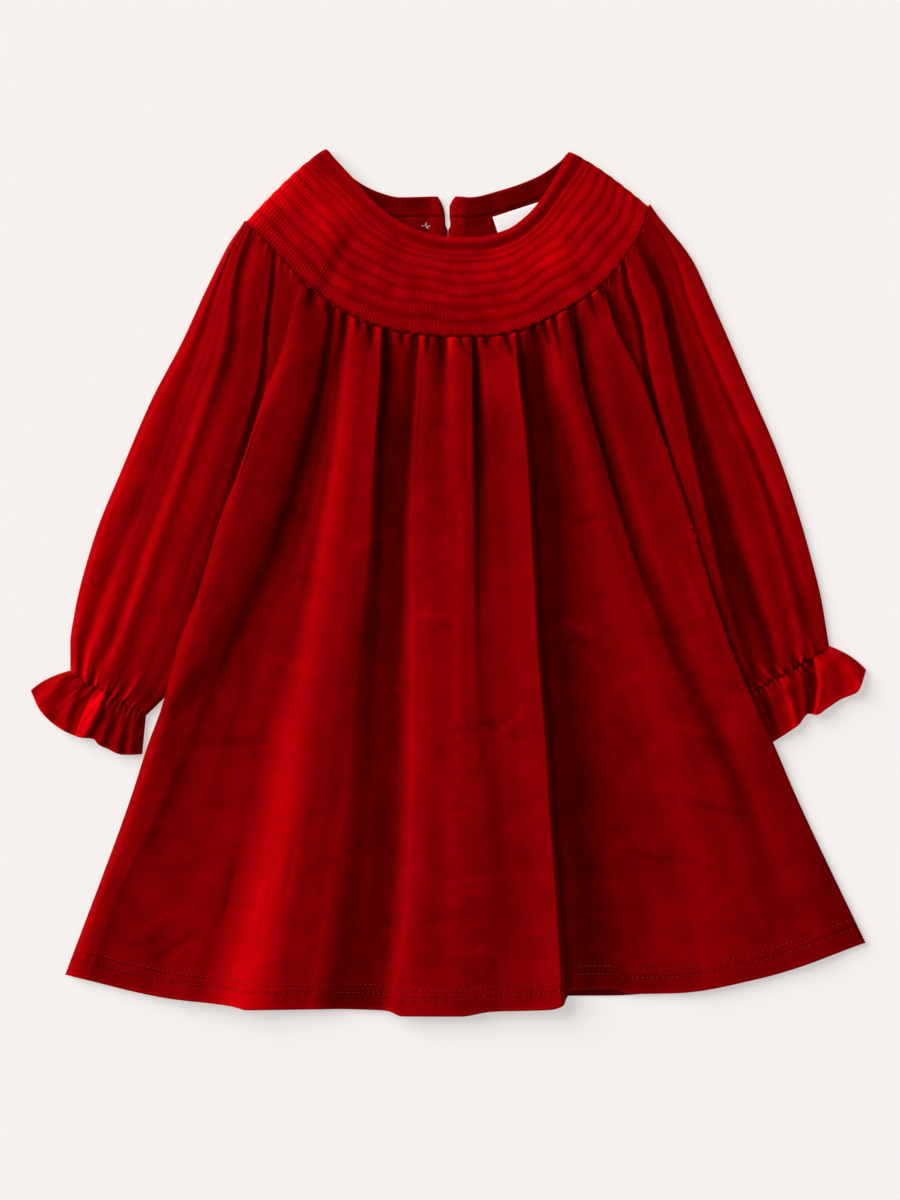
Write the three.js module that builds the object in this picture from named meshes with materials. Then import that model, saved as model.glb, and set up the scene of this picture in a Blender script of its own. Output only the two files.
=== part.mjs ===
// Toddler's long-sleeved velvet dress, laid flat on its back.
// Millimetres, +Z up. The floor is z = 0, +Y runs from hem to neck and +X to the wearer's left.
// The origin is on the floor under the middle of the dress. Left and right in the tables are as seen
// from above, so the wearer's right sleeve is the left one there.
import * as THREE from 'three';

// Cloth
const CLOTH = 1.5;
const BAND = 2.4;
const LABEL_CLOTH = 1;
const SEAM = 0.3;
const BAND_SEAM = 0.45;

// Heights of the layers at rest
const FRONT_REST = CLOTH + SEAM;
const YOKE_REST = 3.7;
const LOW_FOLD = 1;
const BACK_SHARE = 0.6;
const BACK_FADE = 0.125;
const SLEEVE_SHARE = 0.45;
const SKIRT_LIFT = 4.1;
const LIFT_SPARE = 1.12;
const LIFT_REACH = 20;
const LIFT_TOP = { from: 170, to: 158 };
const LIFT_END = { left: -74, right: -60, fade: 60 };
const STEEPEST = 0.55;

// Yoke and neckband
const BAND_FRONT = 8;
const BAND_SHOULDER = 9.5;
const BAND_BACK = 11.5;
const RIBS = 54;
const PUFFS = 7;
const RIB_RISE = 0.6;
const GROOVE_SHARE = 0.4;
const CROWN = 0.8;
const BAND_ROLL = 0.3;
const SHOULDER = { left: -113.7, right: 113.1 };
const NECK = { left: -67.8, right: 67.2 };
const CORNER = { left: -81.8, right: 87.4 };
const BACK_YOKE_RISE = 19;
const YOKE_CREASE = { at: 0.2, width: 0.045, depth: 0.7 };

// Button and label on the back
const BUTTON = { x: -12.9, y: 199.1, radius: 5, height: 1.5, rim: 0.4, flat: 6.5, reach: 7 };
const BUTTON_SIDES = 24;
const LABEL = { x: 25, y: 205.4, length: 34, depth: 16, tilt: 0.315, rest: 1.8 };

// The outer edge of the yoke, seen from above
const YOKE_EDGE = [
  { x: -113.7, y: 202.4 }, { x: -103.6, y: 192.4 }, { x: -82.9, y: 170.8 }, { x: -66.1, y: 157 },
  { x: -42.6, y: 144.8 }, { x: -21.3, y: 139.7 }, { x: 0, y: 138 }, { x: 23.5, y: 138.2 },
  { x: 40.3, y: 141.4 }, { x: 62.7, y: 151.5 }, { x: 85.1, y: 166 }, { x: 100.8, y: 184 },
  { x: 110.3, y: 200.8 }, { x: 113.1, y: 210.8 },
];
const NECK_FRONT = [
  { x: -67.8, y: 242.8 }, { x: -53.9, y: 227.8 }, { x: -42, y: 214.8 }, { x: -29.1, y: 204.1 },
  { x: -11.9, y: 196.5 }, { x: 0, y: 194.3 }, { x: 15.7, y: 194 }, { x: 32.8, y: 198.2 },
  { x: 45.6, y: 207.6 }, { x: 55.1, y: 219.8 }, { x: 61.9, y: 231.6 }, { x: 67.2, y: 241 },
];
const NECK_BACK = [
  { x: -67.8, y: 242.8 }, { x: -53.9, y: 227.8 }, { x: -38.1, y: 219.2 }, { x: -26.9, y: 216.6 },
  { x: -6.2, y: 217 }, { x: 5, y: 217 }, { x: 12.3, y: 216.6 }, { x: 29.1, y: 220.4 },
  { x: 48.7, y: 227.4 }, { x: 61.5, y: 235.5 }, { x: 67.2, y: 241 },
];
// The two edges of the back slit, down from the neckline
const SLIT = [
  { y: 218, left: -6.4, right: 5 }, { y: 214.5, left: -4.2, right: 2.2 },
  { y: 211, left: -2.6, right: 0.8 }, { y: 206, left: -1.6, right: 0.8 },
  { y: 201, left: -1.4, right: 1.3 }, { y: 197.5, left: -0.3, right: 0.3 },
  { y: 150, left: -0.3, right: 0.3 },
];
const SLIT_REACH = 14;
// The number of steps in which a curve's length is measured
const WALK_STEPS = 240;

// The skirt's outline
const SKIRT_LEFT = [
  { y: 171.2, x: -81.8 }, { y: 151.5, x: -87.4 }, { y: 126.8, x: -94.1 }, { y: 111, x: -101.4 },
  { y: 81.5, x: -114.8 }, { y: 38.9, x: -127.7 }, { y: -5.9, x: -140 }, { y: -31.6, x: -150 },
  { y: -69.2, x: -160.2 }, { y: -90.4, x: -168 }, { y: -121.2, x: -178.1 }, { y: -219.2, x: -214.5 },
];
const SKIRT_RIGHT = [
  { y: 167.7, x: 87.4 }, { y: 147.6, x: 92.4 }, { y: 133.8, x: 98.6 }, { y: 116.8, x: 108.1 },
  { y: 94.4, x: 115.9 }, { y: 43.4, x: 133.8 }, { y: 4.8, x: 145 }, { y: -41.7, x: 160.7 },
  { y: -88.8, x: 182 }, { y: -121.2, x: 196 }, { y: -201.3, x: 234 },
];
const HEM_FRONT = [
  { x: -214.5, y: -219.2 }, { x: -158, y: -232 }, { x: -121.5, y: -236.3 }, { x: -112, y: -238.6 },
  { x: -68, y: -238.4 }, { x: -33.6, y: -239.3 }, { x: -25.8, y: -242 }, { x: 7.3, y: -242.2 },
  { x: 23.8, y: -239.6 }, { x: 56.6, y: -238.4 }, { x: 64.7, y: -236 }, { x: 68.5, y: -228.4 },
  { x: 92, y: -227.6 }, { x: 104, y: -230 }, { x: 126, y: -229.6 }, { x: 176.3, y: -220.9 },
  { x: 234, y: -201.3 },
];
const HEM_BACK = [
  { x: -214.5, y: -218 }, { x: -158, y: -230 }, { x: -68, y: -235 }, { x: 0, y: -236 },
  { x: 67, y: -231.2 }, { x: 95, y: -231 }, { x: 126, y: -228 }, { x: 176.3, y: -219 },
  { x: 234, y: -200.3 },
];

// The skirt's folds, from its left edge to its right: where each line of a ridge or valley runs (x)
// and how high it lies (rise), at four places down the skirt
const DOWN = [0, 0.15, 0.45, 1];
const SKIRT_FOLDS = [
  { line: 'edge roll', x: [-76.2, -93, -123.8, -203], rise: [1.6, 2.2, 2.2, 1.2] },
  { line: 'valley 1', x: [-65.5, -72, -111.4, -190], rise: [0.9, 0.8, 0.8, 0.8] },
  { line: 'ridge 2', x: [-58.2, -59.9, -76, -114.8], rise: [2.2, 5.6, 6.2, 6.8] },
  { line: 'shoulder 2', x: [-41.5, -40, -47, -72], rise: [2.2, 5.6, 5.2, 3.6] },
  { line: 'valley 2 start', x: [-36.4, -34, -39, -52], rise: [0.9, 0, 0, 0.2] },
  { line: 'valley 2 end', x: [-29.7, -24.4, -29.4, -33.6], rise: [0.9, 0, 0, 0.2] },
  { line: 'ridge 3', x: [-20.2, -18.5, -24.1, -26.9], rise: [2.2, 6.2, 6.9, 6.4] },
  { line: 'crest 3', x: [6.7, 6.7, 1.1, -1.7], rise: [2.2, 6, 6.2, 5.8] },
  { line: 'valley 3', x: [16.2, 15.7, 16.5, 20.7], rise: [0.9, 1.8, 4.4, 5] },
  { line: 'crest 4', x: [27.4, 29.1, 32, 40.3], rise: [2.2, 5.8, 6.2, 6] },
  { line: 'ridge 4', x: [39.8, 41, 51, 63.4], rise: [2.2, 6.6, 7.3, 7.4] },
  { line: 'valley 4 start', x: [45, 46.8, 57, 69.5], rise: [0.9, 0, 0, 0] },
  { line: 'valley 4 end', x: [51, 55.6, 68, 90], rise: [0.9, 0, 0, 0] },
  { line: 'ridge 5', x: [60.5, 69.4, 103, 141], rise: [2.2, 4.8, 4.2, 2.6] },
  { line: 'valley 5', x: [73.4, 83.4, 122, 175], rise: [0.9, 0.3, 1.1, 1.2] },
  { line: 'ridge 6', x: [81.8, 97.4, 141.1, 220.6], rise: [1.8, 3.6, 3.2, 2.6] },
];
const FRONT_COLUMNS = 4;
const BACK_COLUMNS = 2;
const FRONT_ROWS = [
  0, 0.013, 0.032, 0.056, 0.085, 0.12, 0.165, 0.23, 0.31, 0.4, 0.5, 0.58, 0.66, 0.78, 0.9, 1,
];
const BACK_ROWS = [0, 0.032, 0.085, 0.12, 0.165, 0.23, 0.31, 0.4, 0.5, 0.58, 0.66, 0.78, 0.9, 1];
const SKIRT_LENGTH = 380;

// Small gathers under the yoke: where each ridge starts, its half width, its height and its length
const GATHERS = [
  { x: -80, half: 4, rise: 1.2, length: 26 }, { x: -69, half: 4.5, rise: 1.5, length: 34 },
  { x: -58.8, half: 3.4, rise: 1.3, length: 22 }, { x: -53.8, half: 3, rise: 1.6, length: 30 },
  { x: -46.5, half: 3.4, rise: 1.2, length: 20 }, { x: -39.2, half: 3.2, rise: 1.7, length: 34 },
  { x: -29.7, half: 3, rise: 1.5, length: 24 }, { x: -24, half: 2.6, rise: 1.1, length: 16 },
  { x: -15.7, half: 3.6, rise: 1.6, length: 36 }, { x: -7.3, half: 3, rise: 1.2, length: 20 },
  { x: -1.7, half: 3.4, rise: 1.7, length: 30 }, { x: 6.7, half: 3.2, rise: 1.3, length: 18 },
  { x: 16.8, half: 4, rise: 1.7, length: 38 }, { x: 24.6, half: 3.2, rise: 1.4, length: 26 },
  { x: 32, half: 3, rise: 1.2, length: 16 }, { x: 40.3, half: 3.4, rise: 1.6, length: 28 },
  { x: 48.7, half: 3.2, rise: 1.3, length: 30 }, { x: 56, half: 3, rise: 1.5, length: 22 },
  { x: 61.6, half: 3, rise: 1.2, length: 28 }, { x: 68.3, half: 3.4, rise: 1.6, length: 20 },
  { x: 79.5, half: 4, rise: 1.5, length: 34 }, { x: 86, half: 3, rise: 1.1, length: 20 },
];

// Sections across each sleeve, from the yoke to the elastic line: its outer and inner edge
const SLEEVE_LEFT = [
  { outer: [-113.9, 202], inner: [-82.4, 171] }, { outer: [-122, 191.5], inner: [-89, 151.5] },
  { outer: [-135, 166], inner: [-85, 128] }, { outer: [-149.2, 135.2], inner: [-88, 100] },
  { outer: [-166, 103.3], inner: [-97, 66] }, { outer: [-182.6, 64.7], inner: [-109, 28] },
  { outer: [-198.2, 26], inner: [-124, -9] }, { outer: [-208.9, -13.7], inner: [-141, -42] },
  { outer: [-211.8, -34], inner: [-157, -62] }, { outer: [-211.7, -49.9], inner: [-169.1, -74] },
];
const SLEEVE_RIGHT = [
  { outer: [113.4, 210.4], inner: [88.1, 167.8] }, { outer: [123, 199.5], inner: [94, 147.2] },
  { outer: [136, 183], inner: [91, 128] }, { outer: [150.1, 153.2], inner: [94, 100] },
  { outer: [169.1, 109.5], inner: [102, 64] }, { outer: [185.9, 70.3], inner: [114.5, 26] },
  { outer: [200.2, 26.6], inner: [129.5, -12] }, { outer: [209.4, -9.2], inner: [146.5, -40] },
  { outer: [212.2, -26], inner: [161, -54] }, { outer: [213.9, -36.1], inner: [173.4, -59.6] },
];
// Folds along a sleeve, from its outer edge: where each line runs across it (0 to 1) and its height
const SLEEVE_DOWN = [0, 0.12, 0.35, 0.65, 1];
const SLEEVE_FOLDS_LEFT = [
  { line: 'outer roll', across: [0.09, 0.08, 0.08, 0.1, 0.12], rise: [2.6, 2, 1.8, 1.6, 1.4] },
  { line: 'outer groove', across: [0.2, 0.18, 0.17, 0.22, 0.24], rise: [1.2, 0.8, 0.7, 0.7, 0.5] },
  { line: 'main ridge', across: [0.42, 0.42, 0.38, 0.42, 0.45], rise: [3.2, 4.2, 4.6, 4, 2.2] },
  { line: 'deep valley', across: [0.62, 0.62, 0.56, 0.58, 0.62], rise: [1, 0.2, 0, 0.5, 0.5] },
  { line: 'under fold', across: [0.8, 0.8, 0.66, 0.66, 0.78], rise: [2.6, 2, 1.2, 1.2, 1.8] },
  { line: 'under the skirt', across: [0.94, 0.93, 0.74, 0.74, 0.94], rise: [1.4, 0.1, 0, 0, 0.6] },
];
const SLEEVE_FOLDS_RIGHT = [
  { line: 'outer groove', across: [0.12, 0.11, 0.1, 0.12, 0.15], rise: [1.4, 0.8, 0.6, 0.4, 0.5] },
  { line: 'outer ridge', across: [0.26, 0.25, 0.24, 0.27, 0.3], rise: [2.8, 3.4, 3.6, 3.8, 1.8] },
  { line: 'long valley', across: [0.42, 0.41, 0.4, 0.42, 0.44], rise: [1.1, 0.6, 0.4, 0.3, 0.4] },
  { line: 'inner ridge', across: [0.62, 0.6, 0.54, 0.56, 0.62], rise: [3.2, 4, 4.2, 3.2, 2] },
  { line: 'deep valley', across: [0.8, 0.78, 0.66, 0.66, 0.76], rise: [1, 0.2, 0, 0.2, 0.4] },
  { line: 'under the skirt', across: [0.92, 0.92, 0.74, 0.74, 0.92], rise: [1.8, 0.2, 0, 0, 0.6] },
];
// Pleats that the elastic draws in, on both sides of it: place across, height and length up the sleeve
const CUFF_PLEATS = [
  { across: 0.1, rise: 1.2, length: 30 }, { across: 0.24, rise: 1.5, length: 46 },
  { across: 0.37, rise: 1.3, length: 36 }, { across: 0.5, rise: 1.7, length: 56 },
  { across: 0.63, rise: 1.3, length: 40 }, { across: 0.76, rise: 1.5, length: 44 },
  { across: 0.89, rise: 1, length: 26 },
];
const PLEAT_HALF = 0.065;

// The free edge of each frill, from its outer tip to its inner corner
const FRILL_EDGE_LEFT = [
  [-234, -59.8], [-228.5, -70.8], [-219, -80.2], [-205.5, -86.3], [-198.5, -87.2], [-196, -90],
  [-191.5, -92.3], [-181.4, -96], [-171.4, -95.8],
];
const FRILL_EDGE_RIGHT = [
  [234.5, -48.4], [229.3, -60.6], [220.1, -64.9], [212.2, -70], [206.1, -73.6], [202.2, -73],
  [196.6, -79], [190.5, -83.4], [183.4, -88.2],
];
const FRILL_WAVES = 7;
const FRILL_RISE = 3.6;

// A smooth curve through the rows of a table, never overshooting them: cubic pieces whose slope at
// each row is the harmonic mean of the slopes beside it
function through(rows, from, to) {
  const a = rows.map((row) => row[from]);
  const b = rows.map((row) => row[to]);
  if (a[0] > a[a.length - 1]) {
    a.reverse();
    b.reverse();
  }
  const last = a.length - 1;
  const slope = a.slice(1).map((value, k) => (b[k + 1] - b[k]) / (value - a[k]));
  const tangent = a.map((value, k) => {
    if (k === 0) return slope[0];
    if (k === last) return slope[last - 1];
    const [before, after] = [slope[k - 1], slope[k]];
    return before * after <= 0 ? 0 : (2 * before * after) / (before + after);
  });
  return (at) => {
    const x = THREE.MathUtils.clamp(at, a[0], a[last]);
    let k = 0;
    while (k < last - 1 && x > a[k + 1]) k += 1;
    const width = a[k + 1] - a[k];
    const u = (x - a[k]) / width;
    const v = 1 - u;
    return b[k] * v * v * (1 + 2 * u) + b[k + 1] * u * u * (3 - 2 * u)
      + width * u * v * (tangent[k] * v - tangent[k + 1] * u);
  };
}

// The same for a column of values at even or given places
function steps(places, values) {
  return through(places.map((place, k) => ({ place, value: values[k] })), 'place', 'value');
}

const lerp = THREE.MathUtils.lerp;
const soft = (u) => THREE.MathUtils.smoothstep(u, 0, 1);
const mix = (p, q, f) => [lerp(p[0], q[0], f), lerp(p[1], q[1], f)];
const distance = (p, q) => Math.hypot(q[0] - p[0], q[1] - p[1]);
// A bump that is 1 in its middle and 0 from one half width on
function bump(away, half) {
  return Math.abs(away) < half ? Math.cos((Math.PI * away) / half / 2) ** 2 : 0;
}

// The outline's curves
const yokeEdge = through(YOKE_EDGE, 'x', 'y');
const neckFront = through(NECK_FRONT, 'x', 'y');
const neckBack = through(NECK_BACK, 'x', 'y');
const slitLeft = through(SLIT, 'y', 'left');
const slitRight = through(SLIT, 'y', 'right');
const skirtLeft = through(SKIRT_LEFT, 'y', 'x');
const skirtRight = through(SKIRT_RIGHT, 'y', 'x');
const hemFront = through(HEM_FRONT, 'x', 'y');
const hemBack = through(HEM_BACK, 'x', 'y');

// The back of the yoke is less deep than its front, between the sleeves
function backEdge(x) {
  const u = (x - CORNER.left) / (CORNER.right - CORNER.left);
  const rise = BACK_YOKE_RISE * Math.max(0, 1 - (2 * u - 1) ** 2);
  return yokeEdge(x) + rise;
}

// A line just outside a curve, one seam gap away from it
function beside(curve, x) {
  const slope = curve(x + 0.5) - curve(x - 0.5);
  return curve(x) - SEAM * Math.hypot(1, slope);
}

// A curve y(x) between two x, walked by even length
function walk(curve, from, to) {
  const points = Array.from({ length: WALK_STEPS + 1 }, (_, k) => {
    const x = lerp(from, to, k / WALK_STEPS);
    return [x, curve(x)];
  });
  const reach = [0];
  for (let k = 1; k <= WALK_STEPS; k += 1) reach.push(reach[k - 1] + distance(points[k], points[k - 1]));
  return (f) => {
    const goal = THREE.MathUtils.clamp(f, 0, 1) * reach[WALK_STEPS];
    let k = 1;
    while (k < WALK_STEPS && reach[k] < goal) k += 1;
    return mix(points[k - 1], points[k], (goal - reach[k - 1]) / (reach[k] - reach[k - 1]));
  };
}

// A closed wall between an outer and an inner grid of points. Both have the same columns, and may have
// different numbers of rows. A round wall's last column meets its first.
function wall(outer, inner, round = false) {
  const points = [...outer.flat(), ...inner.flat()];
  let next = 0;
  const number = (grid) => grid.map((column) => column.map(() => next++));
  const out = number(outer);
  const into = number(inner);
  const index = [];
  // Triangles between two lines of points, walked at an even pace
  const bridge = (a, b) => {
    let i = 0;
    let j = 0;
    while (i < a.length - 1 || j < b.length - 1) {
      const first = j === b.length - 1
        || (i < a.length - 1 && (i + 1) / (a.length - 1) <= (j + 1) / (b.length - 1));
      if (first) {
        index.push(a[i], a[i + 1], b[j]);
        i += 1;
      } else {
        index.push(a[i], b[j + 1], b[j]);
        j += 1;
      }
    }
  };
  const count = out.length;
  const strips = round ? count : count - 1;
  for (let k = 0; k < strips; k += 1) {
    const after = (k + 1) % count;
    bridge(out[k], out[after]);
    bridge(into[after], into[k]);
  }
  const row = (grid, end) => {
    const line = grid.map((column) => column[end ? column.length - 1 : 0]);
    return round ? [...line, line[0]] : line;
  };
  bridge(row(out, false), row(into, false));
  bridge(row(into, true), row(out, true));
  if (!round) {
    bridge(into[0], out[0]);
    bridge(out[count - 1], into[count - 1]);
  }
  return solid(points, index);
}

// A geometry from points and triangles, turned so that its faces point outwards
function solid(points, index) {
  let volume = 0;
  for (let k = 0; k < index.length; k += 3) {
    const [a, b, c] = [points[index[k]], points[index[k + 1]], points[index[k + 2]]];
    volume += a[0] * (b[1] * c[2] - b[2] * c[1]) - a[1] * (b[0] * c[2] - b[2] * c[0])
      + a[2] * (b[0] * c[1] - b[1] * c[0]);
  }
  if (volume < 0) index.reverse();
  const geometry = new THREE.BufferGeometry();
  geometry.setAttribute('position', new THREE.Float32BufferAttribute(points.flat(), 3));
  geometry.setIndex(index);
  geometry.computeVertexNormals();
  return geometry;
}

// The upper side of a cloth that lies on a grid of points: raised by its thickness, and by more where
// it is steep, so that the wall keeps its thickness
function upper(grid, thickness) {
  const between = (p, q) => new THREE.Vector3(...q).sub(new THREE.Vector3(...p));
  return grid.map((column, i) => column.map((point, j) => {
    const across = between(grid[Math.max(i - 1, 0)][j], grid[Math.min(i + 1, grid.length - 1)][j]);
    const down = between(column[Math.max(j - 1, 0)], column[Math.min(j + 1, column.length - 1)]);
    const level = Math.abs(across.cross(down).normalize().z);
    return [point[0], point[1], point[2] + thickness / Math.max(level, STEEPEST)];
  }));
}

// Skirt

const hemLeft = HEM_FRONT[0];
const hemRight = HEM_FRONT[HEM_FRONT.length - 1];
const topLeft = beside(yokeEdge, CORNER.left);
const topRight = beside(yokeEdge, CORNER.right);
const edgeLeft = (t) => skirtLeft(lerp(topLeft, hemLeft.y, t));
const edgeRight = (t) => skirtRight(lerp(topRight, hemRight.y, t));
const edgeRise = steps(DOWN, [1.2, 0, 0, 0]);

// The skirt's two edges and its fold lines, each as its x and its rise at t down the skirt
const skirtLines = [
  { x: edgeLeft, rise: edgeRise },
  ...SKIRT_FOLDS.map((fold) => ({ x: steps(DOWN, fold.x), rise: steps(DOWN, fold.rise) })),
  { x: edgeRight, rise: edgeRise },
];

// The place across (0 to 1) of an x at t down the skirt
const acrossAt = (x, t) => (x - edgeLeft(t)) / (edgeRight(t) - edgeLeft(t));
const topAt = (s, curve) => beside(curve, lerp(CORNER.left, CORNER.right, s));
const hemAt = (s, curve) => curve(lerp(hemLeft.x, hemRight.x, s));

// How far down the skirt front (0 to 1) a y lies, so that both panels' folds keep in step
function downAt(s, y) {
  const top = topAt(s, yokeEdge);
  return THREE.MathUtils.clamp((top - y) / (top - hemAt(s, hemFront)), 0, 1);
}

// The height of the folds between line k and the next, at f of the way and t down: a smooth step
// from one line's height to the other's
function foldRise(k, f, t) {
  return lerp(skirtLines[k].rise(t), skirtLines[k + 1].rise(t), soft(f));
}

// The gathers add a row of small bumps that die away down the skirt
function gatherRise(s, t) {
  const x = lerp(CORNER.left, CORNER.right, s);
  let rise = 0;
  for (const gather of GATHERS) {
    rise += gather.rise * bump(x - gather.x, gather.half) * bump(t * SKIRT_LENGTH, gather.length);
  }
  return rise;
}

// The sleeves lie under the skirt's sides, which they lift
const innerEdge = (sections) => through(
  sections.map((row) => ({ y: row.inner[1], x: row.inner[0] })), 'y', 'x',
);
const innerLeft = innerEdge(SLEEVE_LEFT);
const innerRight = innerEdge(SLEEVE_RIGHT);
function sleeveLift(x, y) {
  const open = soft((LIFT_TOP.from - y) / (LIFT_TOP.from - LIFT_TOP.to));
  const near = (away, end) => soft(1 - away / LIFT_REACH) * soft(1 - (end - y) / LIFT_END.fade);
  const left = near(x - innerLeft(y), LIFT_END.left);
  const right = near(innerRight(y) - x, LIFT_END.right);
  return SKIRT_LIFT * open * Math.max(left, right);
}

// One panel of the skirt as a grid of points on its under side. top and hem are its own edges, and
// height gives z from the folds, the gathers and the lift
function skirtGrid(rows, columns, top, hem, height) {
  const grid = [];
  for (let k = 0; k < skirtLines.length - 1; k += 1) {
    const final = k === skirtLines.length - 2;
    for (let c = 0; c < columns + (final ? 1 : 0); c += 1) {
      const f = c / columns;
      grid.push(rows.map((t) => {
        const s = acrossAt(lerp(skirtLines[k].x(t), skirtLines[k + 1].x(t), f), t);
        const y = lerp(topAt(s, top), hemAt(s, hem), t);
        const level = downAt(s, y);
        const x = lerp(skirtLines[k].x(level), skirtLines[k + 1].x(level), f);
        return [x, y, height(foldRise(k, f, level), s, t, x, y)];
      }));
    }
  }
  return grid;
}

function skirtFront() {
  const grid = skirtGrid(FRONT_ROWS, FRONT_COLUMNS, yokeEdge, hemFront, (rise, s, t, x, y) => (
    FRONT_REST + rise + gatherRise(s, t) + LIFT_SPARE * sleeveLift(x, y)
  ));
  return wall(upper(grid, CLOTH), grid);
}

// The back's folds nest under the front's, lower, and it rests flat between them
function skirtBack() {
  const grid = skirtGrid(BACK_ROWS, BACK_COLUMNS, backEdge, hemBack, (rise, s, t, x, y) => (
    BACK_SHARE * Math.max(0, rise - LOW_FOLD) * soft(t / BACK_FADE) + sleeveLift(x, y)
  ));
  const top = grid.map((column) => column.map(([x, y, z]) => [x, y, z + CLOTH]));
  return wall(top, grid);
}

// Flattened tubes

// The turns of a flattened tube: across its top, round one fold, back across its bottom and round
// the other fold. turn is the angle round the tube, 0 on top
function turns(across, folds) {
  const arc = (from, along) => Array.from({ length: folds }, (_, k) => ({
    along, turn: from + (Math.PI * (k + 1)) / (folds + 1),
  }));
  const flat = (turn) => Array.from({ length: across + 1 }, (_, k) => ({
    along: turn === 0 ? k / across : 1 - k / across, turn,
  }));
  return [...flat(0), ...arc(0, 1), ...flat(Math.PI), ...arc(Math.PI, 0)];
}

// One side of a tube's wall. plan(f, t) gives x and y, heights(f, t) the four heights of the wall
function tubeSide(list, rows, plan, heights, side) {
  return list.map(({ along, turn }) => rows.map((t) => {
    const rim = heights(0, t);
    const reach = (rim.topOut - rim.bottomOut) / 2;
    const own = side === 'outer' ? 1 : Math.max(0.1, (rim.topIn - rim.bottomIn) / 2 / reach);
    const inset = reach / rim.width;
    const f = inset + along * (1 - 2 * inset) + inset * own * Math.sin(turn);
    const level = heights(f, t);
    const up = (1 + Math.cos(turn)) / 2;
    const [low, high] = side === 'outer' ? [level.bottomOut, level.topOut] : [level.bottomIn, level.topIn];
    return [...plan(f, t), lerp(low, high, up)];
  }));
}

function tube(list, rows, plan, heights) {
  const side = (name) => tubeSide(list, rows, plan, heights, name);
  return wall(side('outer'), side('inner'), true);
}

// Sleeves

const SLEEVE_TURNS = turns(12, 2);
const SLEEVE_ROWS = [0, 0.02, 0.05, 0.1, 0.18, 0.28, 0.4, 0.52, 0.64, 0.76, 0.86, 0.93, 1];
const SLEEVE_LENGTH = 290;
const SLEEVE_MOUTH = 0.16;
const SLEEVE_SETTLE = 0.06;

// The width of a tube at t down it
const widthOf = (plan) => (t) => distance(plan(0, t), plan(1, t));

// The plan of a sleeve: straight across each section, but along the yoke's edge at its mouth
function sleevePlan(sections) {
  const places = sections.map((_, k) => k / (sections.length - 1));
  const [ox, oy, ix, iy] = [['outer', 0], ['outer', 1], ['inner', 0], ['inner', 1]].map(
    ([edge, axis]) => steps(places, sections.map((row) => row[edge][axis])),
  );
  return (f, t) => {
    const straight = [lerp(ox(t), ix(t), f), lerp(oy(t), iy(t), f)];
    const mouth = [lerp(ox(0), ix(0), f), lerp(oy(0), iy(0), f)];
    const sag = beside(yokeEdge, mouth[0]) - mouth[1];
    return [straight[0], straight[1] + sag * Math.max(0, 1 - t / SLEEVE_MOUTH) ** 2];
  };
}

// The height of a sleeve's folds. Its two edges start at the yoke's height and settle down the sleeve
function sleeveRise(folds) {
  const settle = steps([0, SLEEVE_SETTLE, 1], [YOKE_REST - FRONT_REST, 0, 0]);
  const lines = [
    { across: () => 0, rise: settle },
    ...folds.map((fold) => ({
      across: steps(SLEEVE_DOWN, fold.across), rise: steps(SLEEVE_DOWN, fold.rise),
    })),
    { across: () => 1, rise: settle },
  ];
  return (f, t) => {
    let k = 0;
    while (k < lines.length - 2 && f > lines[k + 1].across(t)) k += 1;
    const [a, b] = [lines[k].across(t), lines[k + 1].across(t)];
    const folded = lerp(lines[k].rise(t), lines[k + 1].rise(t), soft((f - a) / (b - a)));
    return folded + pleatRise(f, (1 - t) * SLEEVE_LENGTH);
  };
}

function pleatRise(f, away) {
  let rise = 0;
  for (const pleat of CUFF_PLEATS) {
    rise += pleat.rise * bump(f - pleat.across, PLEAT_HALF) * bump(away, pleat.length);
  }
  return rise;
}

// Heights of a tube's wall from the height of its folds: the lower layer follows them by a share
function layers(rise, width) {
  const low = SLEEVE_SHARE * Math.max(0, rise - LOW_FOLD);
  const high = FRONT_REST + rise;
  return { bottomOut: low, bottomIn: low + CLOTH, topIn: high, topOut: high + CLOTH, width };
}

function sleeve(sections, folds) {
  const plan = sleevePlan(sections);
  const rise = sleeveRise(folds);
  const width = widthOf(plan);
  return tube(SLEEVE_TURNS, SLEEVE_ROWS, plan, (f, t) => layers(rise(f, t), width(t)));
}

// Frills

const FRILL_TURNS = turns(21, 2);
const FRILL_ROWS = [0, 0.25, 0.6, 1];

// A frill flares from the elastic line to its free edge, with waves that grow on the way
function frill(sections, edge) {
  const last = sections[sections.length - 1];
  const before = sections[sections.length - 2];
  const along = [last.outer[0] - before.outer[0], last.outer[1] - before.outer[1]];
  const length = Math.hypot(...along);
  const start = [last.outer, last.inner].map(([x, y]) => [
    x + (SEAM * along[0]) / length, y + (SEAM * along[1]) / length - SEAM,
  ]);
  const points = edge.map(([x, y]) => new THREE.Vector3(x, y, 0));
  const curve = new THREE.CatmullRomCurve3(points, false, 'centripetal');
  curve.arcLengthDivisions = WALK_STEPS;
  const plan = (f, t) => {
    const end = curve.getPointAt(THREE.MathUtils.clamp(f, 0, 1));
    return mix(mix(start[0], start[1], f), [end.x, end.y], t);
  };
  const width = widthOf(plan);
  const heights = (f, t) => {
    const open = Math.sqrt(Math.sin(Math.PI * THREE.MathUtils.clamp(f, 0, 1)));
    const wave = Math.sin(Math.PI * FRILL_WAVES * f) ** 2;
    return layers(pleatRise(f, 0) * (1 - t) + FRILL_RISE * wave * open * t, width(t));
  };
  return tube(FRILL_TURNS, FRILL_ROWS, plan, heights);
}

// Yoke and neckband

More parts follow.
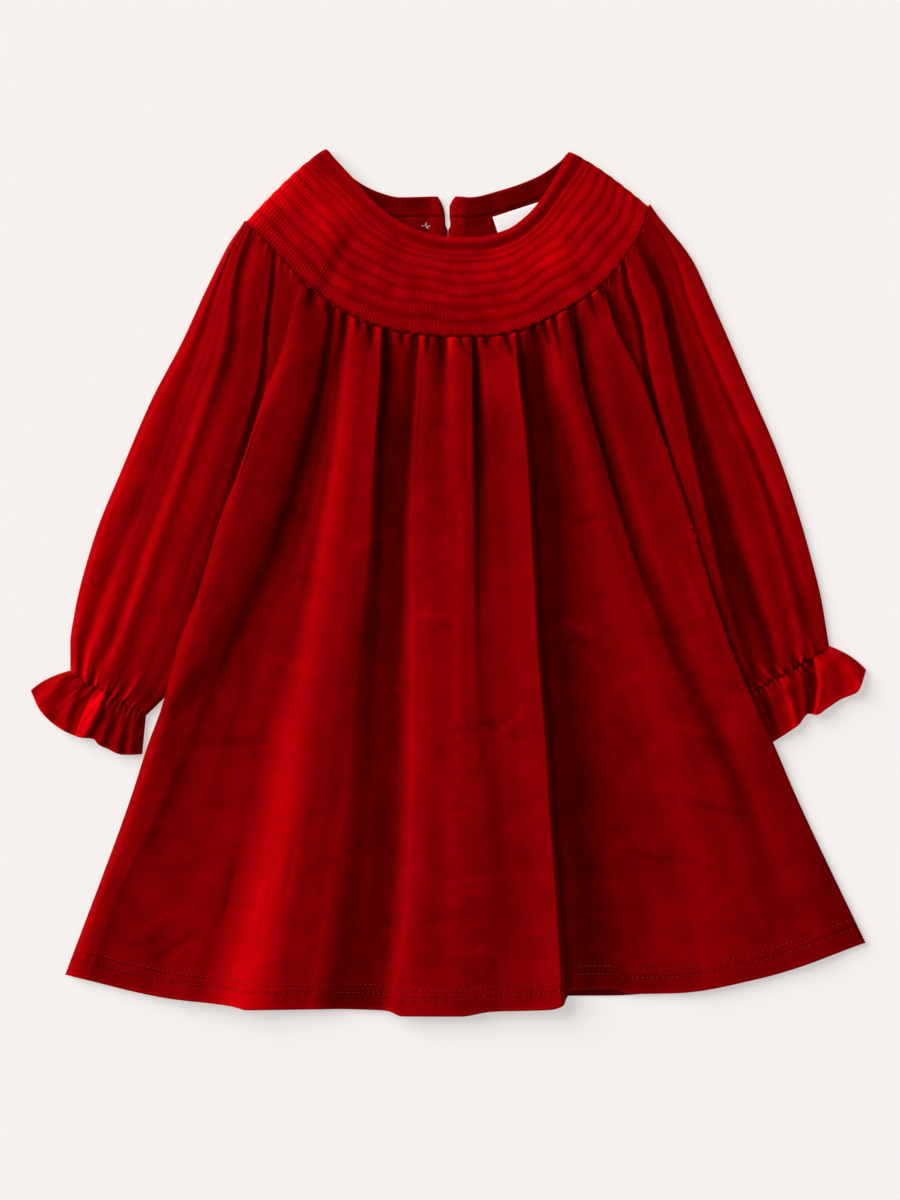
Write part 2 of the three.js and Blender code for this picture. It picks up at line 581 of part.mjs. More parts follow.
const frontNeck = walk(neckFront, NECK.left, NECK.right);
const frontEdge = walk(yokeEdge, SHOULDER.left, SHOULDER.right);
const backNeckLeft = walk(neckBack, NECK.left, 0);
const backNeckRight = walk(neckBack, 0, NECK.right);
const backEdgeLeft = walk(backEdge, SHOULDER.left, 0);
const backEdgeRight = walk(backEdge, 0, SHOULDER.right);
const halves = (left, right) => (f) => (f < 0.5 ? left(2 * f) : right(2 * f - 1));
const backNeck = halves(backNeckLeft, backNeckRight);
const backOuter = halves(backEdgeLeft, backEdgeRight);

// The slit pushes the back's points aside, most at its own edges
function openSlit([x, y], side) {
  const near = Math.max(0, 1 - Math.abs(x) / SLIT_REACH) ** 2;
  return [x + near * (side < 0 ? slitLeft(y) : slitRight(y)), y];
}

// A point of the ring round the neck: f runs from the left shoulder to the right, deep from the
// neckline (0) to the yoke's outer edge (1), and up is 1 on the front and 0 on the back
function ringPlan(f, deep, up, side) {
  const front = mix(frontNeck(f), frontEdge(f), deep);
  const back = openSlit(mix(backNeck(f), backOuter(f), deep), side);
  return mix(back, front, up);
}

// The columns of the ring, from one side of the slit round both shoulders to the other side
function ringTurns(ribSteps, backSteps, folds) {
  const columns = [];
  for (let k = 0; k <= backSteps; k += 1) {
    columns.push({ along: 0.5 - (0.5 * k) / backSteps, turn: Math.PI, side: -1 });
  }
  for (let k = 1; k <= folds; k += 1) {
    columns.push({ along: 0, turn: Math.PI + (Math.PI * k) / (folds + 1), side: -1 });
  }
  for (let k = 0; k <= ribSteps; k += 1) columns.push({ along: k / ribSteps, turn: 0, side: 0 });
  for (let k = 1; k <= folds; k += 1) {
    columns.push({ along: 1, turn: (Math.PI * k) / (folds + 1), side: 1 });
  }
  for (let k = 0; k <= backSteps; k += 1) {
    columns.push({ along: 1 - (0.5 * k) / backSteps, turn: Math.PI, side: 1 });
  }
  return columns;
}

const YOKE_TOP = YOKE_REST + CLOTH;
const RING_WIDTH = 235;
const SHOULDER_FADE = 8;
const YOKE_BACK_STEPS = 10;
const BAND_STEPS = 36;
const BAND_BACK_STEPS = 12;

// The back is lifted where it lies on the button
function buttonLift(x, y) {
  const away = Math.hypot(x - BUTTON.x, y - BUTTON.y);
  return (BUTTON.height + SEAM) * (1 - soft((away - BUTTON.flat) / BUTTON.reach));
}

// One side of the ring's wall. start and end give how deep its two edges lie, and heights its layers
function ringSide(columns, depths, heights, outer) {
  const reach = heights.reach;
  const inner = heights.innerReach;
  return columns.map(({ along, turn, side }) => depths(along, turn, outer).map((deep, row) => {
    const inset = reach / RING_WIDTH;
    const own = outer ? 1 : inner / reach;
    const f = inset + along * (1 - 2 * inset) + inset * own * Math.sin(turn);
    const up = (1 + Math.cos(turn)) / 2;
    const [x, y] = ringPlan(f, deep, up, side);
    const low = (outer ? heights.bottomOut : heights.bottomIn) + (1 - up) * buttonLift(x, y);
    const high = outer ? heights.topOut(along, row) : heights.topIn;
    return [x, y, lerp(low, high, up)];
  }));
}

// How deep a band of the given extra width reaches, as a share of the way to the yoke's outer edge:
// narrow in front, deeper at the back, and in between on the shoulders
function bandDepth(along, turn, extra) {
  const up = (1 + Math.cos(turn)) / 2;
  const away = soft(SHOULDER_FADE * Math.min(along, 1 - along));
  const front = lerp(BAND_SHOULDER, BAND_FRONT, away) + extra;
  const back = lerp(BAND_SHOULDER, BAND_BACK, away) + extra;
  const backShare = back / distance(backNeck(along), backOuter(along));
  const frontShare = front / distance(frontNeck(along), frontEdge(along));
  return lerp(backShare, frontShare, up);
}

function yoke() {
  const rows = 2 * PUFFS;
  const columns = ringTurns(2 * RIBS, YOKE_BACK_STEPS, 2);
  const depths = (along, turn, outer) => {
    const from = bandDepth(along, turn, BAND_SEAM);
    const count = outer ? rows : 1;
    return Array.from({ length: count + 1 }, (_, k) => lerp(from, 1, k / count));
  };
  // Ribs cross the rows of puffs: every second column and every second row stands proud
  const topOut = (along, row) => {
    const rib = Math.round(along * 2 * RIBS) % 2;
    const puff = row % 2;
    const middle = Math.sin((Math.PI * row) / rows);
    const crown = CROWN * soft(SHOULDER_FADE * along) * soft(SHOULDER_FADE * (1 - along));
    const crease = YOKE_CREASE.depth * bump(along - YOKE_CREASE.at, YOKE_CREASE.width);
    return YOKE_TOP + middle * (crown - crease) + RIB_RISE * puff * lerp(GROOVE_SHARE, 1, rib);
  };
  const heights = {
    bottomOut: 0, bottomIn: CLOTH, topIn: YOKE_REST, topOut,
    reach: YOKE_TOP / 2, innerReach: (YOKE_REST - CLOTH) / 2,
  };
  return wall(ringSide(columns, depths, heights, true), ringSide(columns, depths, heights, false));
}

function neckband() {
  const columns = ringTurns(BAND_STEPS, BAND_BACK_STEPS, 3);
  const depths = (along, turn) => [0, 0.5, 1].map((k) => k * bandDepth(along, turn, 0));
  const topOut = (along, row) => YOKE_REST + BAND + (row === 1 ? BAND_ROLL : -BAND_ROLL);
  const heights = {
    bottomOut: 0, bottomIn: BAND, topIn: YOKE_REST, topOut,
    reach: (YOKE_REST + BAND) / 2, innerReach: (YOKE_REST - BAND) / 2,
  };
  return wall(ringSide(columns, depths, heights, true), ringSide(columns, depths, heights, false));
}

// Label and button

// The label hangs from its upper left corner, which is where its seam starts
function label() {
  const shape = new THREE.BoxGeometry(LABEL.length, LABEL.depth, LABEL_CLOTH);
  shape.translate(LABEL.length / 2, -LABEL.depth / 2, LABEL_CLOTH / 2);
  return shape;
}

function button() {
  const { radius, height, rim } = BUTTON;
  const profile = [
    [0, 0], [radius - rim, 0], [radius, rim], [radius, height - rim], [radius - rim, height],
    [radius - 3 * rim, height - rim], [0, height - rim],
  ];
  const shape = new THREE.LatheGeometry(profile.map(([x, y]) => new THREE.Vector2(x, y)), BUTTON_SIDES);
  shape.rotateX(Math.PI / 2);
  return shape;
}

// The dress

const velvet = new THREE.MeshStandardMaterial({ color: 0x9a0008, roughness: 0.85, metalness: 0 });
const shirred = new THREE.MeshStandardMaterial({ color: 0xa8000a, roughness: 0.8, metalness: 0 });
const woven = new THREE.MeshStandardMaterial({ color: 0xf1edea, roughness: 0.7, metalness: 0 });
const resin = new THREE.MeshStandardMaterial({ color: 0x8c0a12, roughness: 0.35, metalness: 0 });

function piece(name, geometry, material) {
  const mesh = new THREE.Mesh(geometry, material);
  mesh.name = name;
  return mesh;
}

const dress = new THREE.Group();
dress.add(piece('skirt_front', skirtFront(), velvet));
dress.add(piece('skirt_back', skirtBack(), velvet));
dress.add(piece('sleeve_right', sleeve(SLEEVE_LEFT, SLEEVE_FOLDS_LEFT), velvet));
dress.add(piece('sleeve_left', sleeve(SLEEVE_RIGHT, SLEEVE_FOLDS_RIGHT), velvet));
dress.add(piece('frill_right', frill(SLEEVE_LEFT, FRILL_EDGE_LEFT), velvet));
dress.add(piece('frill_left', frill(SLEEVE_RIGHT, FRILL_EDGE_RIGHT), velvet));
dress.add(piece('yoke', yoke(), shirred));
dress.add(piece('neckband', neckband(), velvet));

const labelPiece = piece('label', label(), woven);
labelPiece.position.set(LABEL.x, LABEL.y, LABEL.rest);
labelPiece.rotation.z = LABEL.tilt;
dress.add(labelPiece);

const buttonPiece = piece('button', button(), resin);
buttonPiece.position.set(BUTTON.x, BUTTON.y, 0);
dress.add(buttonPiece);

export default dress;
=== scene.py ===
"""Toddler's long-sleeved velvet dress, laid flat on its back and seen straight from above.

The tables are in millimetres, in the part's frame: +Z up from the floor, +Y from the hem to the neck,
+X to the wearer's left. Left and right in the tables are as seen from above. Each panel is a thin
closed shell over the form of its solid, and adds the finer gathers, ribs, creases and stitches.
"""

import bpy
import numpy as np
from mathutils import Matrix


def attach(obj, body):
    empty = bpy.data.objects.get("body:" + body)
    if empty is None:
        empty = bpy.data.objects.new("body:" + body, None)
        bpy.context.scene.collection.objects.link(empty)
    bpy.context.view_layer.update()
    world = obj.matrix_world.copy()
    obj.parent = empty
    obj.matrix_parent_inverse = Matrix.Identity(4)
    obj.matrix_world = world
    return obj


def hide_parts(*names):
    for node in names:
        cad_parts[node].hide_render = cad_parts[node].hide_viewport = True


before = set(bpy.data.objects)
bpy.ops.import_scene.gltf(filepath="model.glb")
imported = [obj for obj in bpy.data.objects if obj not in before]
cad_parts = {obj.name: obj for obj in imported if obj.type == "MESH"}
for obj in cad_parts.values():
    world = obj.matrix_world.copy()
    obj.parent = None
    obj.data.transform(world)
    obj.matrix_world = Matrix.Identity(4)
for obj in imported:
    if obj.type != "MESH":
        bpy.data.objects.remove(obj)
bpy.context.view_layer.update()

MM = 0.001

# The cloth's wall, the doubled neckband's, the gap at a seam and where the layers rest, as in the solids
CLOTH = 1.5
BAND = 2.4
SEAM = 0.3
FRONT_REST = CLOTH + SEAM
YOKE_REST = 3.7
# A lower layer repeats a share of what the folds over it rise past LOW_FOLD, in full from BACK_FADE down
LOW_FOLD = 1
BACK_SHARE = 0.6
BACK_FADE = 0.125
SLEEVE_SHARE = 0.45
# A sleeve lifts the skirt over a slope of this reach, and the front panel a little further
SKIRT_LIFT = 4.1
LIFT_SPARE = 1.12
LIFT_REACH = 20
# It sets in below the armhole (y, reach) and fades out past the cuffs (y on the left and right, reach)
LIFT_START, LIFT_START_FADE = 170, 12
LIFT_END_LEFT, LIFT_END_RIGHT, LIFT_END_FADE = -74, -60, 60
# On steep cloth the wall grows upwards by no more than CLOTH / STEEPEST
STEEPEST = 0.55
# Mean sizes of a skirt panel, for the places on its cloth
SKIRT_WIDTH = 420
SKIRT_LENGTH = 380
# The turned hem: how much thicker, how high, and its two stitched grooves, from the edge up
HEM_THICK = 0.45
HEM_TURN = 15.5
HEM_STITCHES = (9.3, 14)
GROOVE_HALF, GROOVE_DEPTH = 1.1, 0.3
STITCH_LENGTH, STITCH_GAP = 2.1, 0.7
# Puckers by the stitches: one for each PUCKER_PITCH of the hem's width
HEM_WIDTH, PUCKER_PITCH, PUCKER_RISE = 470, 6.3, 0.12

# Yoke and neckband
BAND_FRONT = 8
BAND_SHOULDER = 9.5
BAND_BACK = 11.5
RIBS = 140
# Places of the shirring rows from the neckband (0) to the yoke's edge (1)
ROWS = (0, 0.07, 0.14, 0.26, 0.39, 0.52, 0.66, 0.82, 1)
RIB_RISE = 0.6
# The yoke bulges at its shoulder ends (x, y of the way out), and its neck corners are lifted
BULGE = 2.6
BULGE_POWER = 0.62
OUT_LEFT, OUT_RIGHT = (-0.66, 0.75), (0.55, 0.84)
CORNER_LIFT = 0.6
CROWN = 0.8
BACK_YOKE_RISE = 19
RING_WIDTH = 235
SHOULDER_FADE = 8
SLIT_REACH = 14
# A panel's edge is tucked under the next one at a seam: how far, how high the middle of its thinned edge
# lies, half that edge, and over what reach it sinks. The yoke goes on under the neckband by -BAND_TUCK.
TUCK = 0.9
TUCK_HEIGHT = 2.9
TUCK_HALF = 0.3
TUCK_REACH = 2.4
BAND_TUCK = -0.8

# Button (radius and height of its profile, from the middle of its under side) and label
BUTTON_X, BUTTON_Y, BUTTON_HEIGHT = -12.9, 199.1, 1.5
BUTTON_SIDES = 64
BUTTON_PROFILE = (
    (0.05, 0.1), (1, 0.1), (3.2, 0.08), (4.4, 0), (4.9, 0.3), (5, 0.75), (4.9, 1.2), (4.5, 1.5),
    (4, 1.48), (3.6, 1.2), (2.4, 1.05), (1, 1.02), (0.05, 1.02),
)
LABEL_X, LABEL_Y, LABEL_REST = 25, 205.4, 1.8
LABEL_LENGTH, LABEL_DEPTH, LABEL_TILT = 34, 16, 0.315

# The outer edge of the yoke (x, y), then the front and the back neckline
YOKE_EDGE = (
    (-113.7, 202.4), (-103.6, 192.4), (-82.9, 170.8), (-66.1, 157), (-42.6, 144.8), (-21.3, 139.7),
    (0, 138), (23.5, 138.2), (40.3, 141.4), (62.7, 151.5), (85.1, 166), (100.8, 184), (110.3, 200.8),
    (113.1, 210.8),
)
NECK_FRONT = (
    (-67.8, 242.8), (-53.9, 227.8), (-42, 214.8), (-29.1, 204.1), (-11.9, 196.5), (0, 194.3), (15.7, 194),
    (32.8, 198.2), (45.6, 207.6), (55.1, 219.8), (61.9, 231.6), (67.2, 241),
)
NECK_BACK = (
    (-67.8, 242.8), (-53.9, 227.8), (-38.1, 219.2), (-26.9, 216.6), (-6.2, 217), (5, 217), (12.3, 216.6),
    (29.1, 220.4), (48.7, 227.4), (61.5, 235.5), (67.2, 241),
)
# The slit's two edges (y, left x, right x)
SLIT = (
    (218, -6.4, 5), (214.5, -4.2, 2.2), (211, -2.6, 0.8), (206, -1.6, 0.8), (201, -1.4, 1.3),
    (197.5, -0.05, 0.05), (150, -0.05, 0.05),
)
# The skirt's side edges (y, x) and its two hems (x, y)
SKIRT_LEFT = (
    (171.2, -81.8), (151.5, -87.4), (126.8, -94.1), (111, -101.4), (92, -107.4), (75, -112.8), (58, -119),
    (38.9, -126.6), (-5.9, -140), (-31.6, -150), (-69.2, -160.2), (-90.4, -168), (-121.2, -178.1),
    (-219.2, -214.5),
)
SKIRT_RIGHT = (
    (167.7, 87.4), (147.6, 92.4), (133.8, 98.6), (116.8, 108.1), (94.4, 115.9), (43.4, 133.8), (4.8, 145),
    (-41.7, 160.7), (-88.8, 182), (-121.2, 196), (-201.3, 234),
)
HEM_FRONT = (
    (-214.5, -219.2), (-158, -232), (-121.5, -236.3), (-112, -238.6), (-68, -238.4), (-33.6, -239.3),
    (-25.8, -242), (7.3, -242.2), (23.8, -239.6), (56.6, -238.4), (64.7, -236), (68.5, -228.4),
    (92, -227.6), (104, -230), (126, -229.6), (176.3, -220.9), (234, -201.3),
)
HEM_BACK = (
    (-214.5, -218), (-158, -230), (-68, -235), (0, -236), (67, -231.2), (95, -231), (126, -228),
    (176.3, -219), (234, -200.3),
)
# x of the yoke's shoulder ends, of the neck's corners, and of the skirt's corners at the yoke and the hem
SHOULDER_LEFT, SHOULDER_RIGHT = YOKE_EDGE[0][0], YOKE_EDGE[-1][0]
NECK_LEFT, NECK_RIGHT = NECK_FRONT[0][0], NECK_FRONT[-1][0]
CORNER_LEFT, CORNER_RIGHT = SKIRT_LEFT[0][1], SKIRT_RIGHT[0][1]
(HEM_LEFT, HEM_LEFT_Y), (HEM_RIGHT, HEM_RIGHT_Y) = HEM_FRONT[0], HEM_FRONT[-1]

# The columns of the tables of fold lines: the line's place, the rise of the cloth, and its painted shading
# (0 painted shade, nearly black; 1 painted highlight): painted shade in valleys and slits, painted
# highlights on crests and edges
PLACE, RISE, PAINTED_SHADING = range(3)
# Fold lines down the skirt from its left edge to its right: x at these heights, rise and painted shading
# at these shares of the way down from the yoke
HEIGHTS = (150, 117, 80, 24, -32, -88, -132, -177, -238)
DOWN = (0, 0.06, 0.15, 0.45, 0.72, 1)
LEFT_EDGE = (None, (1.2, 0.6, 0, 0, 0, 0), (0.5, 0.5, 0.58, 0.5, 0.62, 0.66))
RIGHT_EDGE = (None, (1.2, 0.6, 0, 0, 0, 0), (0.35, 0.6, 0.55, 0.55, 0.4, 0.3))
SKIRT_FOLDS = (
    ((-82, -93.5, -109.5, -126, -144, -161.5, -177, -194.5, -216),  # edge roll
     (1.6, 2, 2.2, 2.2, 2, 1.6), (0.5, 0.55, 0.66, 0.52, 0.68, 0.76)),
    ((-78.5, -88.5, -103.5, -119.5, -137.5, -156, -172.5, -191.5, -213),  # inside the roll
     (1.6, 2, 2.1, 2, 1.8, 1.5), (0.46, 0.46, 0.42, 0.38, 0.52, 0.64)),
    ((-68.5, -75, -85, -102.8, -126.4, -148.6, -167, -188, -209),  # fall 1
     (1.5, 1.6, 1.7, 1.6, 1.6, 1.3), (0.42, 0.4, 0.44, 0.4, 0.48, 0.55)),
    ((-64, -68.9, -77.3, -94.6, -118.7, -141.1, -160.2, -183.1, -204),  # valley 1
     (0.9, 0.3, 0.3, 0.5, 0.8, 0.9), (0.15, 0, 0, 0.2, 0.28, 0.35)),
    ((-60.5, -65.5, -71.1, -84, -104.2, -124.3, -138.9, -156.8, -176),  # strip
     (2, 1.8, 1.4, 2, 2.4, 2.6), (0.35, 0.32, 0.15, 0.34, 0.4, 0.42)),
    ((-57.1, -61.6, -65.4, -75.5, -88.4, -105.2, -114, -128.3, -144),  # slit 1
     (1.3, 1.2, 2.6, 4.2, 4.6, 4.8), (0.15, 0.2, 0.4, 0.42, 0.45, 0.5)),
    ((-53.8, -55.4, -58.8, -67.2, -75.6, -86.5, -92, -101.5, -115.5),  # crest 2
     (2.6, 5, 5.6, 6.2, 6.6, 6.8), (0.7, 0.75, 0.82, 0.84, 1.02, 1.12)),
    ((-45.9, -46.5, -50.4, -56, -61.6, -68.9, -72.8, -79.5, -88.5),  # dip 2
     (2, 4.6, 5.2, 5.4, 5, 4.4), (0.3, 0.45, 0.52, 0.55, 0.46, 0.42)),
    ((-38.1, -39.2, -42, -45.4, -50.4, -55.4, -59.9, -67.2, -77.3),  # edge 2
     (2.4, 5.2, 5.4, 5, 4, 3.4), (0.55, 0.55, 0.56, 0.36, 0.48, 0.5)),
    ((-35.3, -34.7, -37, -36.4, -38.1, -40.3, -43.7, -48.2, -57.7),  # valley 2 from here
     (0.9, 0.3, 0, 0, 0.1, 0.2), (0.03, 0.05, 0.13, 0.16, 0.18, 0.22)),
    ((-26.9, -25.8, -29.1, -31.4, -33, -34.7, -37, -40.3, -48.2),  # small bump 2
     (1.5, 0.8, 0.3, 0, 0, 0.1), (0.5, 0.36, 0.08, 0.12, 0.16, 0.22)),
    ((-19.6, -19.6, -21.8, -25.8, -27.4, -28.6, -29.7, -31.9, -38.1),  # valley 2 to here
     (0.9, 0.2, 0, 0, 0.1, 0.2), (0.2, 0, 0.03, 0.16, 0.22, 0.3)),
    ((-15.1, -15.1, -17.4, -19, -17.9, -17.9, -19, -20.7, -28.6),  # edge 3
     (2.4, 5.6, 6.2, 6.9, 6.6, 6.4), (0.6, 0.6, 0.58, 0.66, 0.66, 0.7)),
    ((-3.9, -3.4, -4.5, -5.6, -2.8, -3.4, -5.6, -6.7, -9),  # dip 3
     (1.2, 4.6, 5.4, 6.3, 6.1, 6), (0.1, 0.3, 0.42, 0.52, 0.46, 0.5)),
    ((2.8, 2.8, 3.4, 7.8, 6.2, 4.5, 2.2, 2.2, 0),  # crest 3
     (2.6, 5.8, 6.2, 6.5, 6.2, 5.8), (0.72, 0.7, 0.64, 0.62, 0.57, 0.53)),
    ((12.3, 12.9, 12.9, 13.4, 13.4, 14.6, 15.7, 16.8, 14.6),  # fall 3
     (2.2, 5.2, 5.6, 5.9, 5.6, 5.4), (0.4, 0.4, 0.4, 0.45, 0.45, 0.42)),
    ((14.6, 15.7, 16.2, 17.4, 18.5, 22.4, 26.9, 31.4, 28),  # valley 3
     (0.6, 0.6, 1.6, 4.2, 4.9, 5), (0.1, 0, 0.06, 0.3, 0.29, 0.37)),
    ((21.8, 21.8, 26.9, 29.1, 31.4, 35.3, 39.2, 43.7, 43.7),  # rise 4
     (2.4, 4.8, 4.6, 5.6, 5.9, 6), (0.3, 0.62, 0.38, 0.43, 0.46, 0.46)),
    ((36.4, 38.6, 43.1, 46.5, 49.3, 53.8, 56.6, 59.9, 63.3),  # edge 4
     (2.4, 6, 6.6, 7.3, 7.4, 7.4), (0.5, 0.68, 0.56, 0.56, 0.52, 0.54)),
    ((39.2, 41.4, 45.9, 49.6, 52.6, 57.1, 59.9, 63.3, 66.6),  # valley 4 from here
     (0.9, 0.3, 0, 0, 0, 0), (0.12, 0.15, 0.24, 0.3, 0.3, 0.3)),
    ((50.4, 52.1, 56.6, 60.5, 63.8, 70.6, 73.9, 76.2, 80.6),  # deepest 4
     (0.6, 0.2, 0, 0, 0, 0), (0.35, 0, 0, 0.06, 0.04, 0.12)),
    ((55.4, 58.2, 65, 70, 76.7, 87.4, 95.2, 100.8, 107.5),  # valley 4 to here
     (1.2, 0.8, 0.8, 0.4, 0.2, 0.2), (0.5, 0.5, 0.22, 0.28, 0.3, 0.32)),
    ((62.7, 66.6, 77.3, 90.7, 108.6, 125.4, 137.8, 144.5, 147.8),  # crest 5
     (2.2, 4.4, 4.8, 4.2, 3.2, 2.6), (0.56, 0.55, 0.5, 0.55, 0.5, 0.47)),
    ((68.9, 72.8, 82.9, 99.1, 118.7, 140, 156.8, 166.3, 171.4),  # fall 5
     (2, 4, 4.2, 3.6, 2.4, 1.8), (0.3, 0.32, 0.32, 0.42, 0.45, 0.42)),
    ((72.2, 76.2, 86.2, 103.6, 126, 151.2, 170.2, 181.4, 189.3),  # valley 5
     (0.9, 0.3, 0.3, 1, 1.2, 1.2), (0.08, 0, 0, 0.14, 0.28, 0.38)),
    ((80.6, 85.7, 95.8, 114.2, 136.6, 160.2, 179.2, 196, 212.8),  # crest 6
     (1.8, 3, 3.6, 3.2, 2.8, 2.6), (0.5, 0.45, 0.42, 0.56, 0.48, 0.42)),
)
# Pinched slits under the yoke: x at the seam, x at the lower end, length, half width, depth
SLITS = (
    (-76.2, -80, 16, 1.6, 0.7), (-65.5, -67, 22, 1.8, 1.2), (-57.7, -58.5, 24, 1.2, 1.6),
    (-50, -50.5, 9, 0.9, 0.7), (-43.1, -43.6, 20, 1.6, 1.5), (-34.2, -34.6, 30, 1.6, 1.2),
    (-26.3, -25.6, 12, 1.3, 1), (-17.9, -18.6, 22, 1.5, 0.9), (-11.2, -11.8, 14, 1.2, 1.4),
    (-2.8, -3.4, 22, 1.6, 1.8), (6.2, 10.6, 14, 1.3, 1.2), (14.6, 15.7, 30, 1.5, 1.3),
    (21.3, 21.8, 10, 1.2, 1.3), (31.9, 39.2, 24, 1.2, 1.4), (47.6, 50.4, 16, 1.4, 1),
    (53.2, 58.8, 22, 1.3, 1.4), (58.8, 65.5, 34, 1.3, 1.4), (68.3, 75.6, 38, 1.5, 1.4),
    (78.5, 84, 20, 1.4, 0.9), (84.6, 90, 14, 1.3, 0.7),
)
# Puffed knots of cloth between the slits: x, half width, rise, length
KNOTS = (
    (-71, 4, 0.9, 12), (-61.5, 2.6, 0.8, 10), (-53.2, 3, 1.2, 14), (-46.5, 2.4, 0.8, 8),
    (-38.6, 3.2, 1.1, 16), (-29.7, 2.8, 1, 12), (-22.4, 2.6, 1, 14), (-14, 2.8, 1.2, 16),
    (-8.4, 2.4, 0.9, 10), (1.7, 3.4, 1.3, 18), (9.5, 2.6, 0.8, 8), (17.8, 2.8, 1.3, 20),
    (27.4, 3.4, 1.1, 14), (36.4, 2.8, 1, 10), (42.6, 3, 1.1, 18), (50.6, 2, 0.8, 8), (56.2, 2.4, 1.1, 12),
    (63.2, 3, 1.1, 16), (74.6, 4, 1.2, 20), (82, 2.6, 0.8, 10),
)
# The painted shading that a slit, a knot, a crease, a stitched groove and the folded edge of the hem add:
# painted shade in a slit and a groove, a painted highlight on a knot and on the hem's edge, and both along
# a crease
SLIT_PAINTED_SHADE, PUFF_PAINTED_HIGHLIGHT, CREASE_PAINTED_SHADING, GROOVE_PAINTED_SHADE, EDGE_PAINTED_HIGHLIGHT = -0.7, 0.36, 0.32, -0.2, 0.25
# Creases in the skirt: from (x, y) to (x, y), half width, rise (a trough is negative)
CREASES = (
    (-134, -190, -170, -215, 2.4, -0.5), (-142, -178, -178, -198, 2, 0.5),
    (-152, -196, -186, -206, 1.8, -0.4), (-150, -92, -92, -86, 2.4, -0.35),
    (-104, -40, -66, -52, 1.8, 0.4), (-118, -150, -128, -196, 1.8, -0.5),
    (-100, -160, -112, -204, 1.6, 0.5), (-84, -136, -92, -178, 1.6, -0.4),
    (118, -118, 176, -132, 2.2, -0.4), (84, -60, 128, -48, 1.8, 0.4), (96, -150, 150, -158, 2.4, -0.35),
    (-8, -86, 40, -74, 1.8, -0.4), (64, 30, 88, 40, 1.6, -0.45), (-60, 16, -28, 30, 1.6, 0.35),
    (-20, -190, 22, -182, 2, -0.4), (-26, -170, 30, -164, 1.6, 0.3), (-10, -208, 34, -204, 1.8, 0.35),
    (128, 20, 150, -34, 2, 0.4), (-16, 92, 6, 84, 1.4, -0.35), (20, 60, 40, 66, 1.4, 0.35),
    (-14, 28, 8, 34, 1.5, -0.3), (100, -30, 150, -26, 1.8, -0.3), (110, -76, 160, -88, 1.8, 0.3),
    (-96, 8, -60, -4, 1.6, -0.3), (24, -86, 48, -68, 1.2, 0.6), (16, -78, 38, -84, 1.2, -0.5),
    (30, -92, 52, -78, 1.1, -0.5), (-20, -17, 4, -19, 1.2, 0.5), (-12, -28, 6, -22, 1.1, -0.5),
    (-40, -56, -24, -60, 1.2, 0.4), (62, -20, 88, -30, 1.3, 0.45), (60, -28, 84, -36, 1.2, -0.4),
    (4, -120, 26, -126, 1.2, 0.4),
)

# Sections across each sleeve, from the yoke to the elastic line: outer x, y and inner x, y
SLEEVE_LEFT = (
    (-113.9, 202, -82.4, 171), (-122, 191.5, -81.5, 150.5), (-135, 166, -85, 128),
    (-149.2, 135.2, -88, 100), (-166, 103.3, -97, 66), (-182.6, 64.7, -109, 28), (-198.2, 26, -124, -9),
    (-208.9, -13.7, -141, -42), (-211.8, -34, -157, -62), (-211.7, -49.9, -169.1, -74),
)
SLEEVE_RIGHT = (
    (113.4, 210.4, 86.2, 166.6), (123, 199.5, 86, 146), (136, 183, 91, 128), (150.1, 153.2, 94, 100),
    (169.1, 109.5, 102, 64), (185.9, 70.3, 114.5, 26), (200.2, 26.6, 129.5, -12),
    (209.4, -9.2, 146.5, -40), (212.2, -26, 159, -55), (213.9, -36.1, 168.2, -62.6),
)
# Where the sleeve lifts the skirt (y, x): along its inner edge, but apart from it near the yoke and cuff
LIFT_LEFT = ((171, -82.4), (151.5, -89), *[(y, x) for _, _, x, y in SLEEVE_LEFT[2:]])
LIFT_RIGHT = ((167.8, 88.1), (147.2, 94), *[(y, x) for _, _, x, y in SLEEVE_RIGHT[2:8]],
              (-54, 161), (-59.6, 173.4))
